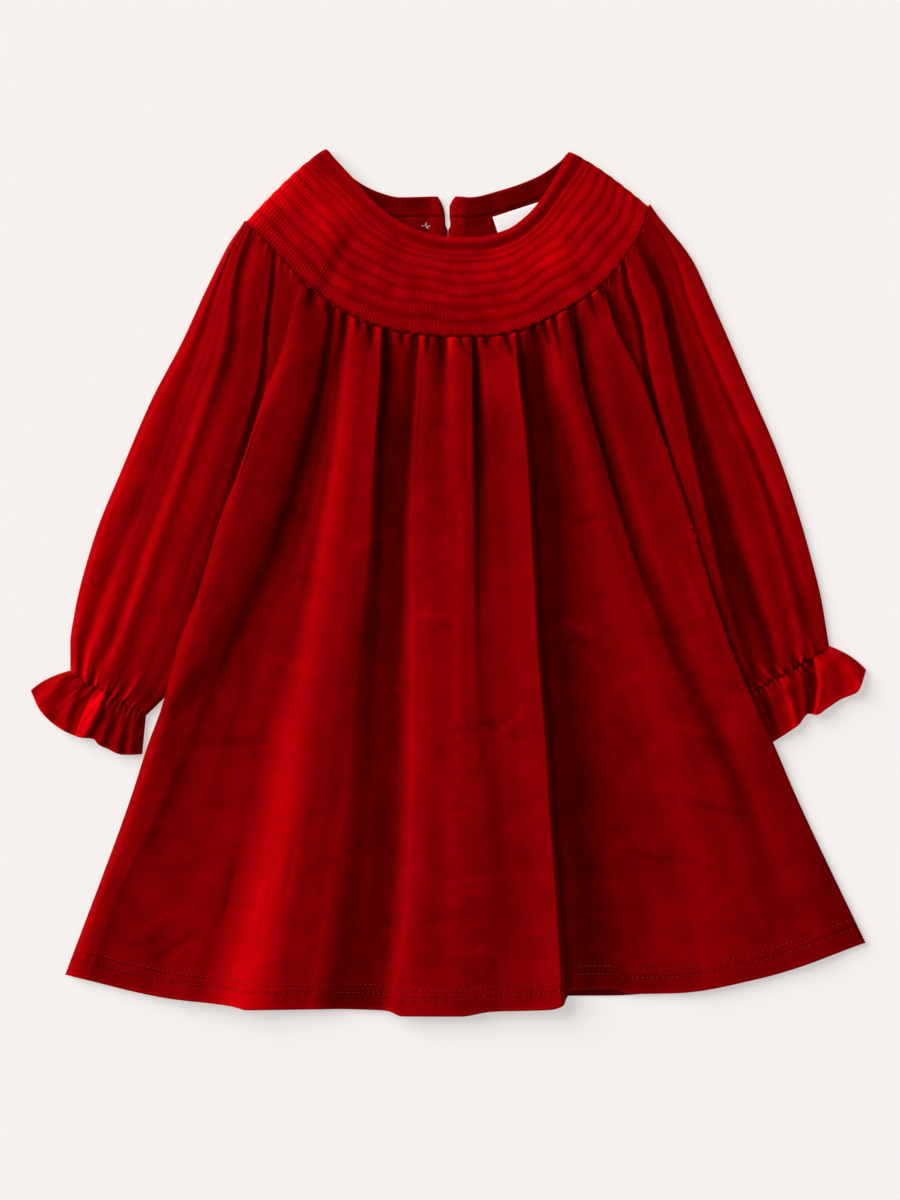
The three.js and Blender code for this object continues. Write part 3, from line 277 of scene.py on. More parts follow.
# Fold lines along a sleeve from its outer edge: place across (0 to 1), rise and painted shading at these
# places down
SLEEVE_DOWN = (0, 0.12, 0.3, 0.55, 0.8, 1)
SLEEVE_FOLDS_LEFT = (
    ((0.03, 0.04, 0.07, 0.05, 0.05, 0.08),  # roll
     (2.4, 2, 2, 1.8, 1.6, 1.4), (0.8, 0.85, 0.75, 0.92, 0.9, 0.9)),
    ((0.05, 0.06, 0.13, 0.208, 0.141, 0.117),  # groove 1
     (2, 1.4, 0.8, 0.8, 0.6, 0.4), (0.7, 0.72, 0.55, 0.48, 0.45, 0.4)),
    ((0.07, 0.085, 0.19, 0.258, 0.233, 0.203),  # ridge 1
     (2.2, 2, 1.8, 1.6, 2.8, 2.2), (0.66, 0.64, 0.6, 0.52, 1, 0.9)),
    ((0.09, 0.11, 0.25, 0.322, 0.343, 0.287),  # groove 2
     (2, 2, 2.6, 2.2, 1.2, 0.8), (0.6, 0.56, 0.58, 0.52, 0.42, 0.35)),
    ((0.12, 0.15, 0.33, 0.397, 0.419, 0.378),  # ridge 2
     (2.4, 2.6, 3.8, 4.2, 3.4, 2.2), (0.55, 0.52, 0.64, 0.78, 0.84, 0.75)),
    ((0.17, 0.2, 0.41, 0.478, 0.529, 0.611),  # groove 3
     (1, 1.2, 1.6, 2.4, 1.2, 0.6), (0.35, 0.25, 0.3, 0.54, 0.46, 0.25)),
    ((0.3, 0.33, 0.5, 0.573, 0.62, 0.737),  # ridge 3
     (3, 3, 2.4, 2.6, 1.8, 1.4), (0.62, 0.66, 0.54, 0.66, 0.6, 0.5)),
    ((0.48, 0.54, 0.67, 0.69, 0.74, 0.861),  # before the wedge
     (2.4, 2, 1, 0.8, 0.7, 0.6), (0.55, 0.5, 0.46, 0.42, 0.45, 0.3)),
    ((0.54, 0.595, 0.71, 0.78, 0.84, 0.929),  # wedge
     (1, 0.5, 0, 0.1, 0.4, 0.7), (0.35, 0.14, -0.3, 0.16, 0.34, 0.3)),
    ((0.62, 0.655, 0.765, 0.84, 0.9, 0.971),  # fold at the armhole
     (2.4, 1.8, 0.8, 0.4, 0.8, 0.8), (0.6, 0.5, 0.42, 0.35, 0.45, 0.5)),
)
SLEEVE_FOLDS_RIGHT = (
    ((0.04, 0.05, 0.15, 0.118, 0.078, 0.074),  # roll
     (1.4, 1.6, 2.4, 1.6, 1.2, 1.2), (0.55, 0.6, 0.82, 0.8, 0.5, 0.5)),
    ((0.07, 0.08, 0.18, 0.152, 0.16, 0.201),  # groove 1
     (1.2, 1.2, 2, 1.2, 0.5, 0.4), (0.5, 0.52, 0.5, 0.4, 0.3, 0.2)),
    ((0.1, 0.12, 0.21, 0.203, 0.249, 0.295),  # crease
     (2, 2.2, 2.8, 3, 2.6, 1.8), (0.46, 0.5, 0.48, 0.62, 0.62, 0.55)),
    ((0.15, 0.17, 0.26, 0.276, 0.333, 0.41),  # dip 1
     (1.8, 2, 2.6, 2.8, 1.6, 0.6), (0.42, 0.4, 0.42, 0.44, 0.4, 0.25)),
    ((0.2, 0.23, 0.31, 0.371, 0.432, 0.543),  # crest 1
     (2, 2.2, 2.8, 3, 2.4, 1.4), (0.42, 0.36, 0.42, 0.5, 0.56, 0.45)),
    ((0.25, 0.275, 0.355, 0.479, 0.52, 0.658),  # valley from here
     (1.4, 0.9, 0.5, 0.6, 0.6, 0.4), (0.38, 0.18, 0, 0, 0.1, 0.15)),
    ((0.275, 0.3, 0.378, 0.528, 0.605, 0.748),  # bump
     (1.2, 0.8, 0.6, 0.8, 1.2, 1), (0.34, 0.12, 0.02, 0.05, 0.26, 0.4)),
    ((0.3, 0.325, 0.405, 0.559, 0.718, 0.875),  # valley to here
     (1.4, 0.9, 0.8, 0.8, 0.4, 0.3), (0.36, 0.16, 0.05, 0.05, 0.08, 0.15)),
    ((0.36, 0.39, 0.45, 0.6, 0.769, 0.923),  # crest 2
     (2.6, 3, 3.4, 3, 1.2, 1), (0.5, 0.5, 0.52, 0.45, 0.32, 0.35)),
    ((0.44, 0.48, 0.54, 0.642, 0.805, 0.95),  # dip 2
     (2.6, 3.2, 3.4, 2.4, 0.9, 0.6), (0.46, 0.48, 0.48, 0.4, 0.28, 0.25)),
    ((0.52, 0.56, 0.625, 0.691, 0.842, 0.965),  # edge 2
     (3, 3.2, 3, 1.6, 0.8, 0.6), (0.66, 0.66, 0.62, 0.45, 0.25, 0.25)),
    ((0.56, 0.608, 0.672, 0.736, 0.871, 0.98),  # wedge
     (0.8, 0.4, 0, 0.1, 0.3, 0.4), (0.1, 0, -0.1, 0.08, 0.15, 0.2)),
    ((0.65, 0.69, 0.73, 0.8, 0.91, 0.99),  # fold at the armhole
     (2.2, 1.4, 0.7, 0.1, 0.3, 0.5), (0.6, 0.5, 0.4, 0.18, 0.25, 0.3)),
    ((0.74, 0.77, 0.785, 0.86, 0.95, 0.995),  # groove at the armhole
     (0.8, 0.6, 0.3, 0.1, 0.3, 0.5), (0.25, 0.25, 0.28, 0.2, 0.25, 0.3)),
)
# The mouth's curve fades out over SLEEVE_MOUTH of the length and its height over SLEEVE_SETTLE
SLEEVE_MOUTH = 0.16
SLEEVE_SETTLE = 0.06
SLEEVE_LENGTH = 290
# Gathers at the yoke: place across, rise, length down the sleeve
SLEEVE_GATHERS = (
    (0.07, 0.6, 10), (0.18, 0.9, 18), (0.3, 0.7, 12), (0.42, 1, 22), (0.53, 0.7, 12), (0.64, 1, 18),
    (0.75, 0.7, 12), (0.85, 0.9, 16), (0.94, 0.5, 8),
)
GATHER_HALF = 0.045
# Pleats drawn in by the elastic: place across, rise, length up the sleeve; the last ones are finer
CUFF_PLEATS = (
    (0.06, 0.9, 30), (0.19, 1.4, 56), (0.33, 1.3, 44), (0.46, 1, 26), (0.58, 1.3, 40), (0.7, 1.4, 58),
    (0.82, 1, 34), (0.93, 0.8, 22),
)
FINE_PLEATS = (
    (0.03, 0.4, 16), (0.12, 0.5, 26), (0.25, 0.6, 36), (0.395, 0.5, 24), (0.52, 0.6, 38), (0.64, 0.5, 20),
    (0.76, 0.6, 32), (0.88, 0.5, 22), (0.97, 0.3, 12),
)
PLEAT_HALF = 0.055
FINE_HALF = 0.03
# Small knots of cloth along the elastic: place across, rise, length to both sides of the line
CUFF_KNOTS = (
    (0.035, 0.5, 9), (0.09, 0.7, 7), (0.15, 0.5, 13), (0.215, 0.8, 9), (0.28, 0.5, 6), (0.335, 0.8, 15),
    (0.4, 0.6, 8), (0.455, 0.8, 12), (0.51, 0.5, 7), (0.565, 0.9, 15), (0.63, 0.7, 8), (0.69, 0.8, 12),
    (0.75, 0.6, 6), (0.805, 0.9, 13), (0.865, 0.7, 9), (0.925, 0.6, 8), (0.97, 0.4, 6),
)
KNOT_HALF = 0.03
# The painted shading at a sleeve's sides (a painted highlight), and what a millimetre of pleat, gather or
# knot adds to it past their mean: a painted highlight on their tops and painted shade between them
SIDE_PAINTED_SHADING = 0.6
PLEAT_PAINTED_SHADING, PLEAT_MEAN = 0.42, 0.45
GATHER_PAINTED_SHADING, GATHER_MEAN = 0.28, 0.4
KNOT_PAINTED_SHADING, KNOT_MEAN = 0.75, 0.34
# The free edge of each frill, from its outer tip to its inner corner
FRILL_EDGE_LEFT = (
    (-234, -59.8), (-228.5, -70.8), (-219, -80.2), (-205.5, -86.3), (-198.5, -87.2), (-196, -90),
    (-191.5, -92.3), (-181.4, -96), (-171.4, -95.8),
)
FRILL_EDGE_RIGHT = (
    (234.5, -48.4), (229.3, -60.6), (220.1, -64.9), (212.2, -70), (206.1, -73.6), (202.2, -73),
    (196.6, -79), (190.5, -83.4), (181, -89.6),
)
FRILL_BOW = 1.8
FRILL_LENGTH = 30
# A frill starts this far under the sleeve's end, as an edge so thin
CUFF_TUCK = 1.3
CUFF_THIN = 1
# The elastic draws the cloth in: how deep, and to what distance. Up to SETTLED_REACH from it the sleeve's
# folds grow from a share of their rise.
DRAWN, DRAWN_REACH = 0.4, 5
SETTLED, SETTLED_REACH = 0.4, 10
# Fine gathers, puckers and knots fade out over this share of the width beside a sleeve's or frill's sides
SIDE_FADE = 0.06
# Mean sizes of a sleeve, a frill, the yoke and the neckband, for the places on their cloth
SLEEVE_WIDTH, FRILL_WIDTH, FRILL_DEPTH, RING_ROUND, YOKE_DEPTH, BAND_DEPTH = 80, 60, 32, 300, 60, 10
# Fold lines down each frill from its outer side: the same at the elastic, half way and at the free edge
FRILL_DOWN = (0, 0.5, 1)
FRILL_FOLDS_LEFT = (
    ((0.05, 0.1, 0.16), (1, 2.8, 3.2), (0.7, 0.85, 0.92)),
    ((0.12, 0.2, 0.3), (0.3, 0.8, 0.8), (0.4, 0.5, 0.6)),
    ((0.2, 0.29, 0.4), (1.2, 2.6, 2.4), (0.75, 0.78, 0.66)),
    ((0.29, 0.36, 0.45), (0.3, 0.8, 0.9), (0.3, 0.42, 0.5)),
    ((0.36, 0.41, 0.475), (0.8, 1.2, 1.4), (0.5, 0.45, 0.5)),
    ((0.4, 0.44, 0.495), (1.4, 3.2, 3.2), (1.2, 1.25, 1)),
    ((0.47, 0.53, 0.54), (1.8, 4, 3.8), (1.4, 1.35, 1.05)),
    ((0.51, 0.58, 0.585), (0.2, 0.4, 0.5), (0.2, 0.25, 0.4)),
    ((0.59, 0.65, 0.68), (1, 2.4, 2.8), (0.5, 0.56, 0.56)),
    ((0.66, 0.71, 0.74), (0.3, 0.6, 0.6), (0.15, 0.28, 0.4)),
    ((0.74, 0.78, 0.81), (1, 2.2, 2.6), (0.5, 0.5, 0.52)),
    ((0.8, 0.84, 0.87), (0.3, 0.5, 0.5), (0.12, 0.24, 0.36)),
    ((0.86, 0.89, 0.92), (0.9, 1.8, 2.2), (0.42, 0.46, 0.46)),
    ((0.94, 0.95, 0.97), (0.3, 0.4, 0.4), (0.15, 0.2, 0.25)),
)
FRILL_FOLDS_RIGHT = (
    ((0.04, 0.09, 0.14), (1, 2.8, 3.2), (0.7, 0.9, 0.95)),
    ((0.1, 0.19, 0.3), (0.9, 1.8, 1.6), (0.5, 0.55, 0.66)),
    ((0.15, 0.29, 0.46), (1.2, 2.4, 2.4), (0.62, 0.7, 0.78)),
    ((0.2, 0.36, 0.575), (1.8, 3.6, 3.4), (0.95, 0.95, 0.85)),
    ((0.25, 0.41, 0.61), (0.1, 0.2, 0.3), (-0.05, 0.08, 0.3)),
    ((0.34, 0.47, 0.63), (0.5, 0.5, 0.5), (0.25, 0.15, 0.25)),
    ((0.42, 0.53, 0.66), (1.2, 2.2, 2.2), (0.5, 0.5, 0.6)),
    ((0.5, 0.6, 0.7), (0.4, 0.8, 1), (0.25, 0.3, 0.5)),
    ((0.6, 0.68, 0.76), (1.6, 3, 3), (0.65, 0.85, 0.95)),
    ((0.68, 0.74, 0.8), (0.6, 1.4, 1.6), (0.3, 0.5, 0.7)),
    ((0.77, 0.82, 0.87), (1, 1.6, 1.8), (0.42, 0.4, 0.5)),
    ((0.86, 0.9, 0.94), (0.2, 0.3, 0.4), (0.05, 0.06, 0.25)),
)


# Curves

def joined(*parts):
    """Arrays of coordinates as one array of points."""
    return np.stack(np.broadcast_arrays(*parts), axis=-1)


def reached(points):
    """The length of a line of points from its start to each of them."""
    return np.concatenate([[0], np.cumsum(np.linalg.norm(np.diff(points, axis=0), axis=1))])


def lerp(a, b, f):
    """a + (b - a) f"""
    return a + (b - a) * f


def soft(u):
    """A smooth step: 3u^2 - 2u^3 between 0 and 1."""
    u = np.clip(u, 0, 1)
    return u * u * (3 - 2 * u)


def bump(away, half):
    """cos^2 of a quarter turn per half width: 1 in the middle and 0 from one half width on."""
    return np.cos(np.pi / 2 * np.clip(np.abs(away) / half, 0, 1)) ** 2


def curves(places, rows):
    """Smooth curves through rows of values at the same places, as a function of (row, place).

    Cubic pieces whose slope at each place is the harmonic mean 2pq / (p + q) of the slopes p and q
    beside it, or 0 where these have different signs, so that the curve never overshoots.
    """
    a = np.asarray(places, float)
    b = np.atleast_2d(np.asarray(rows, float))
    slope = np.diff(b, axis=1) / np.diff(a)
    before, after = slope[:, :-1], slope[:, 1:]
    same = before * after > 0
    mean = 2 * before * after / np.where(same, before + after, 1)
    tangent = np.hstack([slope[:, :1], np.where(same, mean, 0), slope[:, -1:]])

    def value(row, place):
        x = np.clip(place, a[0], a[-1])
        k = np.clip(np.searchsorted(a, x, side="right") - 1, 0, len(a) - 2)
        width = a[k + 1] - a[k]
        u = (x - a[k]) / width
        v = 1 - u
        ends = b[row, k] * v * v * (1 + 2 * u) + b[row, k + 1] * u * u * (3 - 2 * u)
        return ends + width * u * v * (tangent[row, k] * v - tangent[row, k + 1] * u)

    return value


def through(table, column=1):
    """The smooth curve through a table's first column and another one."""
    points = np.array(sorted(table), float)
    curve = curves(points[:, 0], points[:, column])
    return lambda x: curve(0, x)


yoke_edge = through(YOKE_EDGE)
neck_front = through(NECK_FRONT)
neck_back = through(NECK_BACK)
slit_left = through(SLIT, 1)
slit_right = through(SLIT, 2)
skirt_left = through(SKIRT_LEFT)
skirt_right = through(SKIRT_RIGHT)
hem_front = through(HEM_FRONT)
hem_back = through(HEM_BACK)


def back_edge(x):
    """The back yoke's edge: the front one raised by 1 - (2u - 1)^2 between the skirt's corners."""
    u = (x - CORNER_LEFT) / (CORNER_RIGHT - CORNER_LEFT)
    return yoke_edge(x) + BACK_YOKE_RISE * np.maximum(0, 1 - (2 * u - 1) ** 2)


def beside(curve, x, gap=SEAM):
    """The line one seam gap outside a curve."""
    return curve(x) - gap * np.hypot(1, curve(x + 0.5) - curve(x - 0.5))


def tucked(grid, away, height):
    """A grid whose points near a seam sink smoothly to a height at the seam."""
    grid[..., 2] = lerp(grid[..., 2], height, 1 - soft(away / TUCK_REACH))
    return grid


def walk(curve, start, end):
    """A curve y(x) between two x as a function of the share of its length."""
    x = np.linspace(start, end, 800)
    y = curve(x)
    reach = reached(joined(x, y))

    def point(f):
        goal = np.clip(f, 0, 1) * reach[-1]
        return joined(np.interp(goal, reach, x), np.interp(goal, reach, y))

    return point


def ripples(x, y, seed, amplitude, shortest, longest, count=18):
    """Gentle unevenness: the mean of random plane waves sin(k . p + phase), scaled to an amplitude."""
    random = np.random.default_rng(seed)
    total = np.zeros(np.broadcast(x, y).shape)
    for _ in range(count):
        turn = random.uniform(0, np.pi)
        pitch = random.uniform(shortest, longest)
        along = x * np.cos(turn) + y * np.sin(turn)
        total += np.sin(2 * np.pi * along / pitch + random.uniform(0, 2 * np.pi))
    return amplitude * total / np.sqrt(count)


def creased(x, y, creases):
    """Soft straight folds: rise exp(-(v / half)^2), which fades out over the ends of each line."""
    total = np.zeros(np.broadcast(x, y).shape)
    for x0, y0, x1, y1, half, rise in creases:
        length = np.hypot(x1 - x0, y1 - y0)
        dx, dy = (x1 - x0) / length, (y1 - y0) / length
        u = ((x - x0) * dx + (y - y0) * dy) / length
        v = -(x - x0) * dy + (y - y0) * dx
        total += rise * np.exp(-((v / half) ** 2)) * soft(u / 0.35) * soft((1 - u) / 0.35)
    return total


# Meshes

# The painted shading of a piece that has none of its own: an even middle value
EVEN_PAINTED_SHADING = 0.5


def normals(grid):
    """Unit normals of a grid of points, facing up."""
    across = np.gradient(grid, axis=0)
    down = np.gradient(grid, axis=1)
    n = np.cross(down, across)
    n /= np.maximum(np.linalg.norm(n, axis=-1, keepdims=True), 1e-9)
    return n * np.where(n[..., 2:] < 0, -1, 1)


def mesh_object(name, points, faces, material, uv=None, painted_shading=None):
    """A smooth-shaded mesh object from millimetre points and faces, turned to face outwards.

    A face has four point numbers; where the last two are the same, it is a triangle.
    """
    points = np.asarray(points, float) * MM
    a, b, c, d = (points[faces[:, k]] for k in range(4))
    volume = sum(np.einsum("ij,ij->", p, np.cross(q, r)) for p, q, r in ((a, b, c), (a, c, d)))
    if volume < 0:
        faces = faces[:, [1, 0, 3, 2]]
    mesh = bpy.data.meshes.new(name)
    mesh.from_pydata(points.tolist(), [], [f[:3] if f[2] == f[3] else f for f in faces.tolist()])
    if uv is not None:
        corner = np.empty(len(mesh.loops), np.int32)
        mesh.loops.foreach_get("vertex_index", corner)
        layer = mesh.uv_layers.new(name="cloth")
        layer.data.foreach_set("uv", (np.asarray(uv, np.float32)[corner] * MM).ravel())
    # Painted shading (painted shade and painted highlights), by which the material mixes its red
    if painted_shading is not None:
        layer = mesh.attributes.new("painted_shading", "FLOAT", "POINT")
        layer.data.foreach_set("value", np.asarray(painted_shading, np.float32))
    mesh.polygons.foreach_set("use_smooth", np.ones(len(mesh.polygons), bool))
    mesh.materials.append(material)
    made = bpy.data.objects.new(name, mesh)
    bpy.context.scene.collection.objects.link(made)
    return made


def shell(name, top, under, uv, material, closed=False, painted_shading=EVEN_PAINTED_SHADING, painted_shading_under=None):
    """A thin closed cloth between two grids of points (column, row, xyz) with one shared border.

    The under side keeps every second column and row. A closed shell's last column meets its first.
    """
    columns, rows = top.shape[:2]
    border = np.zeros((columns, rows), bool)
    border[:, [0, -1]] = True
    if not closed:
        border[[0, -1], :] = True
    top = np.where(border[..., None], (top + under) / 2, top)
    number = np.arange(columns * rows).reshape(columns, rows)
    coarse = np.zeros((columns, rows), bool)
    coarse[::2, ::2] = True
    own = coarse & ~border
    below = number.copy()
    below[own] = columns * rows + np.arange(own.sum())
    below = below[::2, ::2]
    if closed:
        number = np.vstack([number, number[:1]])
        below = np.vstack([below, below[:1]])

    def quads(grid, down):
        a, b, c, d = grid[:-1, :-1], grid[:-1, 1:], grid[1:, 1:], grid[1:, :-1]
        order = (a, d, c, b) if down else (a, b, c, d)
        return np.stack([corner.ravel() for corner in order], axis=1)

    def fill(line, turned):
        a, b, c = line[:-2:2], line[1:-1:2], line[2::2]
        order = (c, b, a, a) if turned else (a, b, c, c)
        return np.stack(order, axis=1)

    parts = [quads(number, False), quads(below, True)]
    parts += [fill(number[:, 0], False), fill(number[:, -1], True)]
    if not closed:
        parts += [fill(number[0], True), fill(number[-1], False)]
    points = np.concatenate([top.reshape(-1, 3), under[own]])
    flat = np.concatenate([uv.reshape(-1, 2), uv[own]])
    # Painted shading of the top side and of the under side, per point
    painted_shading = np.broadcast_to(painted_shading, (columns, rows))
    painted_shading_under = painted_shading if painted_shading_under is None else np.broadcast_to(painted_shading_under, (columns, rows))
    painted_shading_per_point = np.concatenate([painted_shading.ravel(), painted_shading_under[own]])
    return mesh_object(name, points, np.concatenate(parts), material, flat, painted_shading_per_point)


def place(grid, column, row):
    """Points of a grid at fractional column and row numbers."""
    i = np.clip(np.floor(column).astype(int), 0, grid.shape[0] - 2)
    j = np.clip(np.floor(row).astype(int), 0, grid.shape[1] - 2)
    u, v = (column - i)[..., None], (row - j)[..., None]
    upper = lerp(grid[i, j], grid[i + 1, j], u)
    return lerp(upper, lerp(grid[i, j + 1], grid[i + 1, j + 1], u), v)


def stitched(grid, column, row, length, gap):
    """Stitches along a line on a grid, as (middle, direction, normal) arrays, evenly spaced."""
    path = place(grid, column, row)
    reach = reached(path)
    count = int(reach[-1] // (length + gap))
    goal = (np.arange(count) + 0.5) * reach[-1] / count

    def along(line, goal):
        return joined(*(np.interp(goal, reach, line[:, k]) for k in range(3)))

    middle = along(path, goal)
    up = along(place(normals(grid), column, row), goal)
    direction = along(path, goal + length / 2) - middle
    direction /= np.maximum(np.linalg.norm(direction, axis=1, keepdims=True), 1e-9)
    return middle, direction, up


def threads(name, seams, size, material):
    """Short rounded stitches: three rings of four points and two ends, copied along the seams."""
    middle, direction, up = (np.concatenate([seam[k] for seam in seams]) for k in range(3))
    side = np.cross(up, direction)
    side /= np.linalg.norm(side, axis=1, keepdims=True)
    shape = [(-0.5, 0, 0)]
    for along, half in ((-0.4, 0.375), (0, 0.5), (0.4, 0.375)):
        shape += [(along, half, 0), (along, 0, half), (along, -half, 0), (along, 0, -half)]
    shape = np.array([*shape, (0.5, 0, 0)]) * size
    points = (middle[:, None] + shape[:, 0:1] * direction[:, None] + shape[:, 1:2] * side[:, None]
              + shape[:, 2:3] * up[:, None])
    faces = []
    for k in range(4):
        after = (k + 1) % 4
        faces += [(0, 1 + after, 1 + k, 1 + k), (13, 9 + k, 9 + after, 9 + after)]
        faces += [(1 + k + 4 * r, 1 + after + 4 * r, 5 + after + 4 * r, 5 + k + 4 * r) for r in range(2)]
    faces = np.array(faces) + len(shape) * np.arange(len(middle))[:, None, None]
    return mesh_object(name, points.reshape(-1, 3), faces.reshape(-1, 4), material)


def rings(number):
    """The faces of a tube of rings of point numbers (ring, place), with a fan on both ends."""
    after = np.roll(number, -1, axis=1)
    faces = [np.stack([q.ravel() for q in (number[:-1], number[1:], after[1:], after[:-1])], axis=1)]
    for line, turned in ((number[0], False), (number[-1], True)):
        a, b = (line[2:], line[1:-1]) if turned else (line[1:-1], line[2:])
        faces.append(np.stack([np.full(len(line) - 2, line[0]), a, b, b], axis=1))
    return np.concatenate(faces)


def cords(name, paths, radius, material, sides=6):
    """Thin threads: a ring of points round each path, with an end point at both ends."""
    points, faces, start = [], [], 0
    turn = 2 * np.pi * np.arange(sides) / sides
    for path in paths:
        path = np.asarray(path, float)
        along = np.gradient(path, axis=0)
        along /= np.linalg.norm(along, axis=1, keepdims=True)
        side = np.cross(along, (0.1, 0.05, 1))
        side /= np.linalg.norm(side, axis=1, keepdims=True)
        up = np.cross(side, along)
        ring = np.cos(turn)[None, :, None] * side[:, None] + np.sin(turn)[None, :, None] * up[:, None]
        size = np.full(len(path), radius)
        size[[0, -1]] *= 0.3
        points.append((path[:, None] + ring * size[:, None, None]).reshape(-1, 3))
        faces.append(rings(start + np.arange(len(path) * sides).reshape(len(path), sides)))
        start += len(path) * sides
    return mesh_object(name, np.concatenate(points), np.concatenate(faces), material)


# Materials

def linear(code):
    """A hex sRGB colour as linear RGBA: ((c + 0.055) / 1.055)^2.4 above 0.04045."""
    c = np.array([int(code[k:k + 2], 16) for k in (1, 3, 5)]) / 255
    c = np.where(c > 0.04045, ((c + 0.055) / 1.055) ** 2.4, c / 12.92)
    return (*c, 1)


def add(tree, kind, inputs=None, **settings):
    """Adds a node with its settings, and sets or links its inputs."""
    made = tree.nodes.new(kind)
    for name, value in settings.items():
        setattr(made, name, value)
    for socket, value in (inputs or {}).items():
        if isinstance(value, bpy.types.NodeSocket):
            tree.links.new(value, made.inputs[socket])
        else:
            made.inputs[socket].default_value = value
    return made


def new_material(name):
    """An empty node material, as (material, tree)."""
    material = bpy.data.materials.new(name)
    material.use_nodes = True
    material.node_tree.nodes.clear()
    return material, material.node_tree


def surface(tree, inputs):
    """Ends a material with one principled surface."""
    made = add(tree, "ShaderNodeBsdfPrincipled", inputs)
    add(tree, "ShaderNodeOutputMaterial", {"Surface": made.outputs[0]})


def noise(tree, where, scale, detail, roughness):
    made = add(tree, "ShaderNodeTexNoise", {
        "Vector": where, "Scale": scale, "Detail": detail, "Roughness": roughness,
    })
    return made.outputs["Fac"]


def maths(tree, operation, a, b):
    return add(tree, "ShaderNodeMath", {0: a, 1: b}, operation=operation).outputs[0]


def velvet_material(name, streak):
    """Polyester velvet: a dyed knit with a short brushed nap.

    Its red is painted with light and shade: bright as a painted highlight and nearly black as painted
    shade, by the painted shading of each point, with long soft streaks where a hand brushed it (stretched
    noise), a fine grain of fibre tips (bump) and a glow on steep slopes (sheen).
    """
    material, tree = new_material(name)
    place_on_cloth = add(tree, "ShaderNodeUVMap", uv_map="cloth")
    here = add(tree, "ShaderNodeTexCoord").outputs["Object"]
    stretched = add(tree, "ShaderNodeMapping", {"Vector": place_on_cloth.outputs[0], "Scale": streak})
    brushed = noise(tree, stretched.outputs[0], 1.0, 4.0, 0.6)
    patches = noise(tree, here, 60.0, 5.0, 0.65)
    spread = add(tree, "ShaderNodeMapRange", {
        "Value": maths(tree, "ADD", brushed, patches),
        "From Min": 0.6, "From Max": 1.4, "To Min": -0.14, "To Max": 0.14,
    })
    # Painted shading of each point: near 0 painted shade, near 1 painted highlight
    painted_shading = add(tree, "ShaderNodeAttribute", attribute_name="painted_shading")
    painted_shading_and_streaks = maths(tree, "ADD", painted_shading.outputs["Fac"], spread.outputs[0])
    share = maths(tree, "POWER", maths(tree, "MAXIMUM", painted_shading_and_streaks, 0.0), 1.35)
    # The red runs from #3e0000 for painted shade to #ba0008 for painted highlight
    dye_with_painted_shading = add(tree, "ShaderNodeMix", {
        "Factor": share, 6: linear("#3e0000"), 7: linear("#ba0008"),
    }, data_type="RGBA", clamp_factor=False)
    clumps = add(tree, "ShaderNodeBump", {
        "Height": noise(tree, here, 130.0, 3.0, 0.5), "Strength": 0.5, "Distance": 0.0012,
    })
    grain = add(tree, "ShaderNodeBump", {
        "Height": noise(tree, here, 1100.0, 2.0, 0.6), "Strength": 0.5, "Distance": 0.0004,
        "Normal": clumps.outputs[0],
    })
    surface(tree, {
        "Base Color": dye_with_painted_shading.outputs[2], "Roughness": 0.75, "Specular IOR Level": 0.06,
        "Specular Tint": linear("#ff1018"), "Sheen Weight": 0.7, "Sheen Roughness": 0.35,
        "Sheen Tint": linear("#ff1018"), "Normal": grain.outputs[0],
    })
    return material


def plain_material(name, code, roughness, specular, glow="#ffffff", strength=0.0):
    """A plain surface. A light table glows evenly too, which takes most of the depth out of the
    shadows on it."""
    material, tree = new_material(name)
    surface(tree, {
        "Base Color": linear(code), "Roughness": roughness, "Specular IOR Level": specular,
        "Emission Color": linear(glow), "Emission Strength": strength,
    })
    return material


def label_material(name):
    """White satin label tape: a fine weave of flat shiny threads (two crossed bands as bump)."""
    material, tree = new_material(name)
    on_label = add(tree, "ShaderNodeUVMap", uv_map="cloth")
    bands = [add(tree, "ShaderNodeTexWave", {
        "Vector": on_label.outputs[0], "Scale": 420.0, "Distortion": 0.4,
    }, bands_direction=way).outputs["Fac"] for way in ("X", "Y")]
    weave = add(tree, "ShaderNodeBump", {
        "Height": maths(tree, "MULTIPLY", *bands), "Strength": 0.4, "Distance": 0.0001,
    })
    surface(tree, {
        "Base Color": linear("#f1edee"), "Roughness": 0.5, "Specular IOR Level": 0.4,
        "Sheen Weight": 0.2, "Sheen Roughness": 0.4, "Normal": weave.outputs[0],
    })
    return material


velvet = velvet_material("velvet", (55, 7, 1))
sleeve_velvet = velvet_material("sleeve velvet", (60, 8, 1))
shirred = velvet_material("shirred velvet", (30, 30, 1))
woven = label_material("woven label")
resin = plain_material("button resin", "#7d0810", 0.25, 0.5)
thread = plain_material("red sewing thread", "#a20408", 0.55, 0.25)
loose_thread = plain_material("loose pale thread", "#d7a3ad", 0.6, 0.3)
board = plain_material("pale light table", "#acaaa9", 0.9, 0.1, "#f4f0ed", 0.565)


def finish_piece(made, node):
    """Puts a cloth piece in the solid's place."""
    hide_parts(node)
    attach(made, "root")


# Skirt

def at_top(s):
    """x at the skirt's seam, at s across from corner to corner."""
    return lerp(CORNER_LEFT, CORNER_RIGHT, s)


def at_hem(s):
    """x at the skirt's hem, at s across from corner to corner."""
    return lerp(HEM_LEFT, HEM_RIGHT, s)


def edge_left(t):
    """x of the left side edge at t down; edge_right is the other one."""
    return skirt_left(lerp(beside(yoke_edge, CORNER_LEFT), HEM_LEFT_Y, t))


def edge_right(t):
    return skirt_right(lerp(beside(yoke_edge, CORNER_RIGHT), HEM_RIGHT_Y, t))


def followed(fold, t):
    """x of a fold line at t down the front panel: found again a few times, since x sets y and y sets x."""
    path = curves(HEIGHTS[::-1], fold[PLACE][::-1])
    x = path(0, lerp(HEIGHTS[0], HEIGHTS[-1], t))
    for _ in range(8):
        s = (x - edge_left(t)) / (edge_right(t) - edge_left(t))
        x = path(0, lerp(beside(yoke_edge, at_top(s)), hem_front(at_hem(s)), t))
    return x


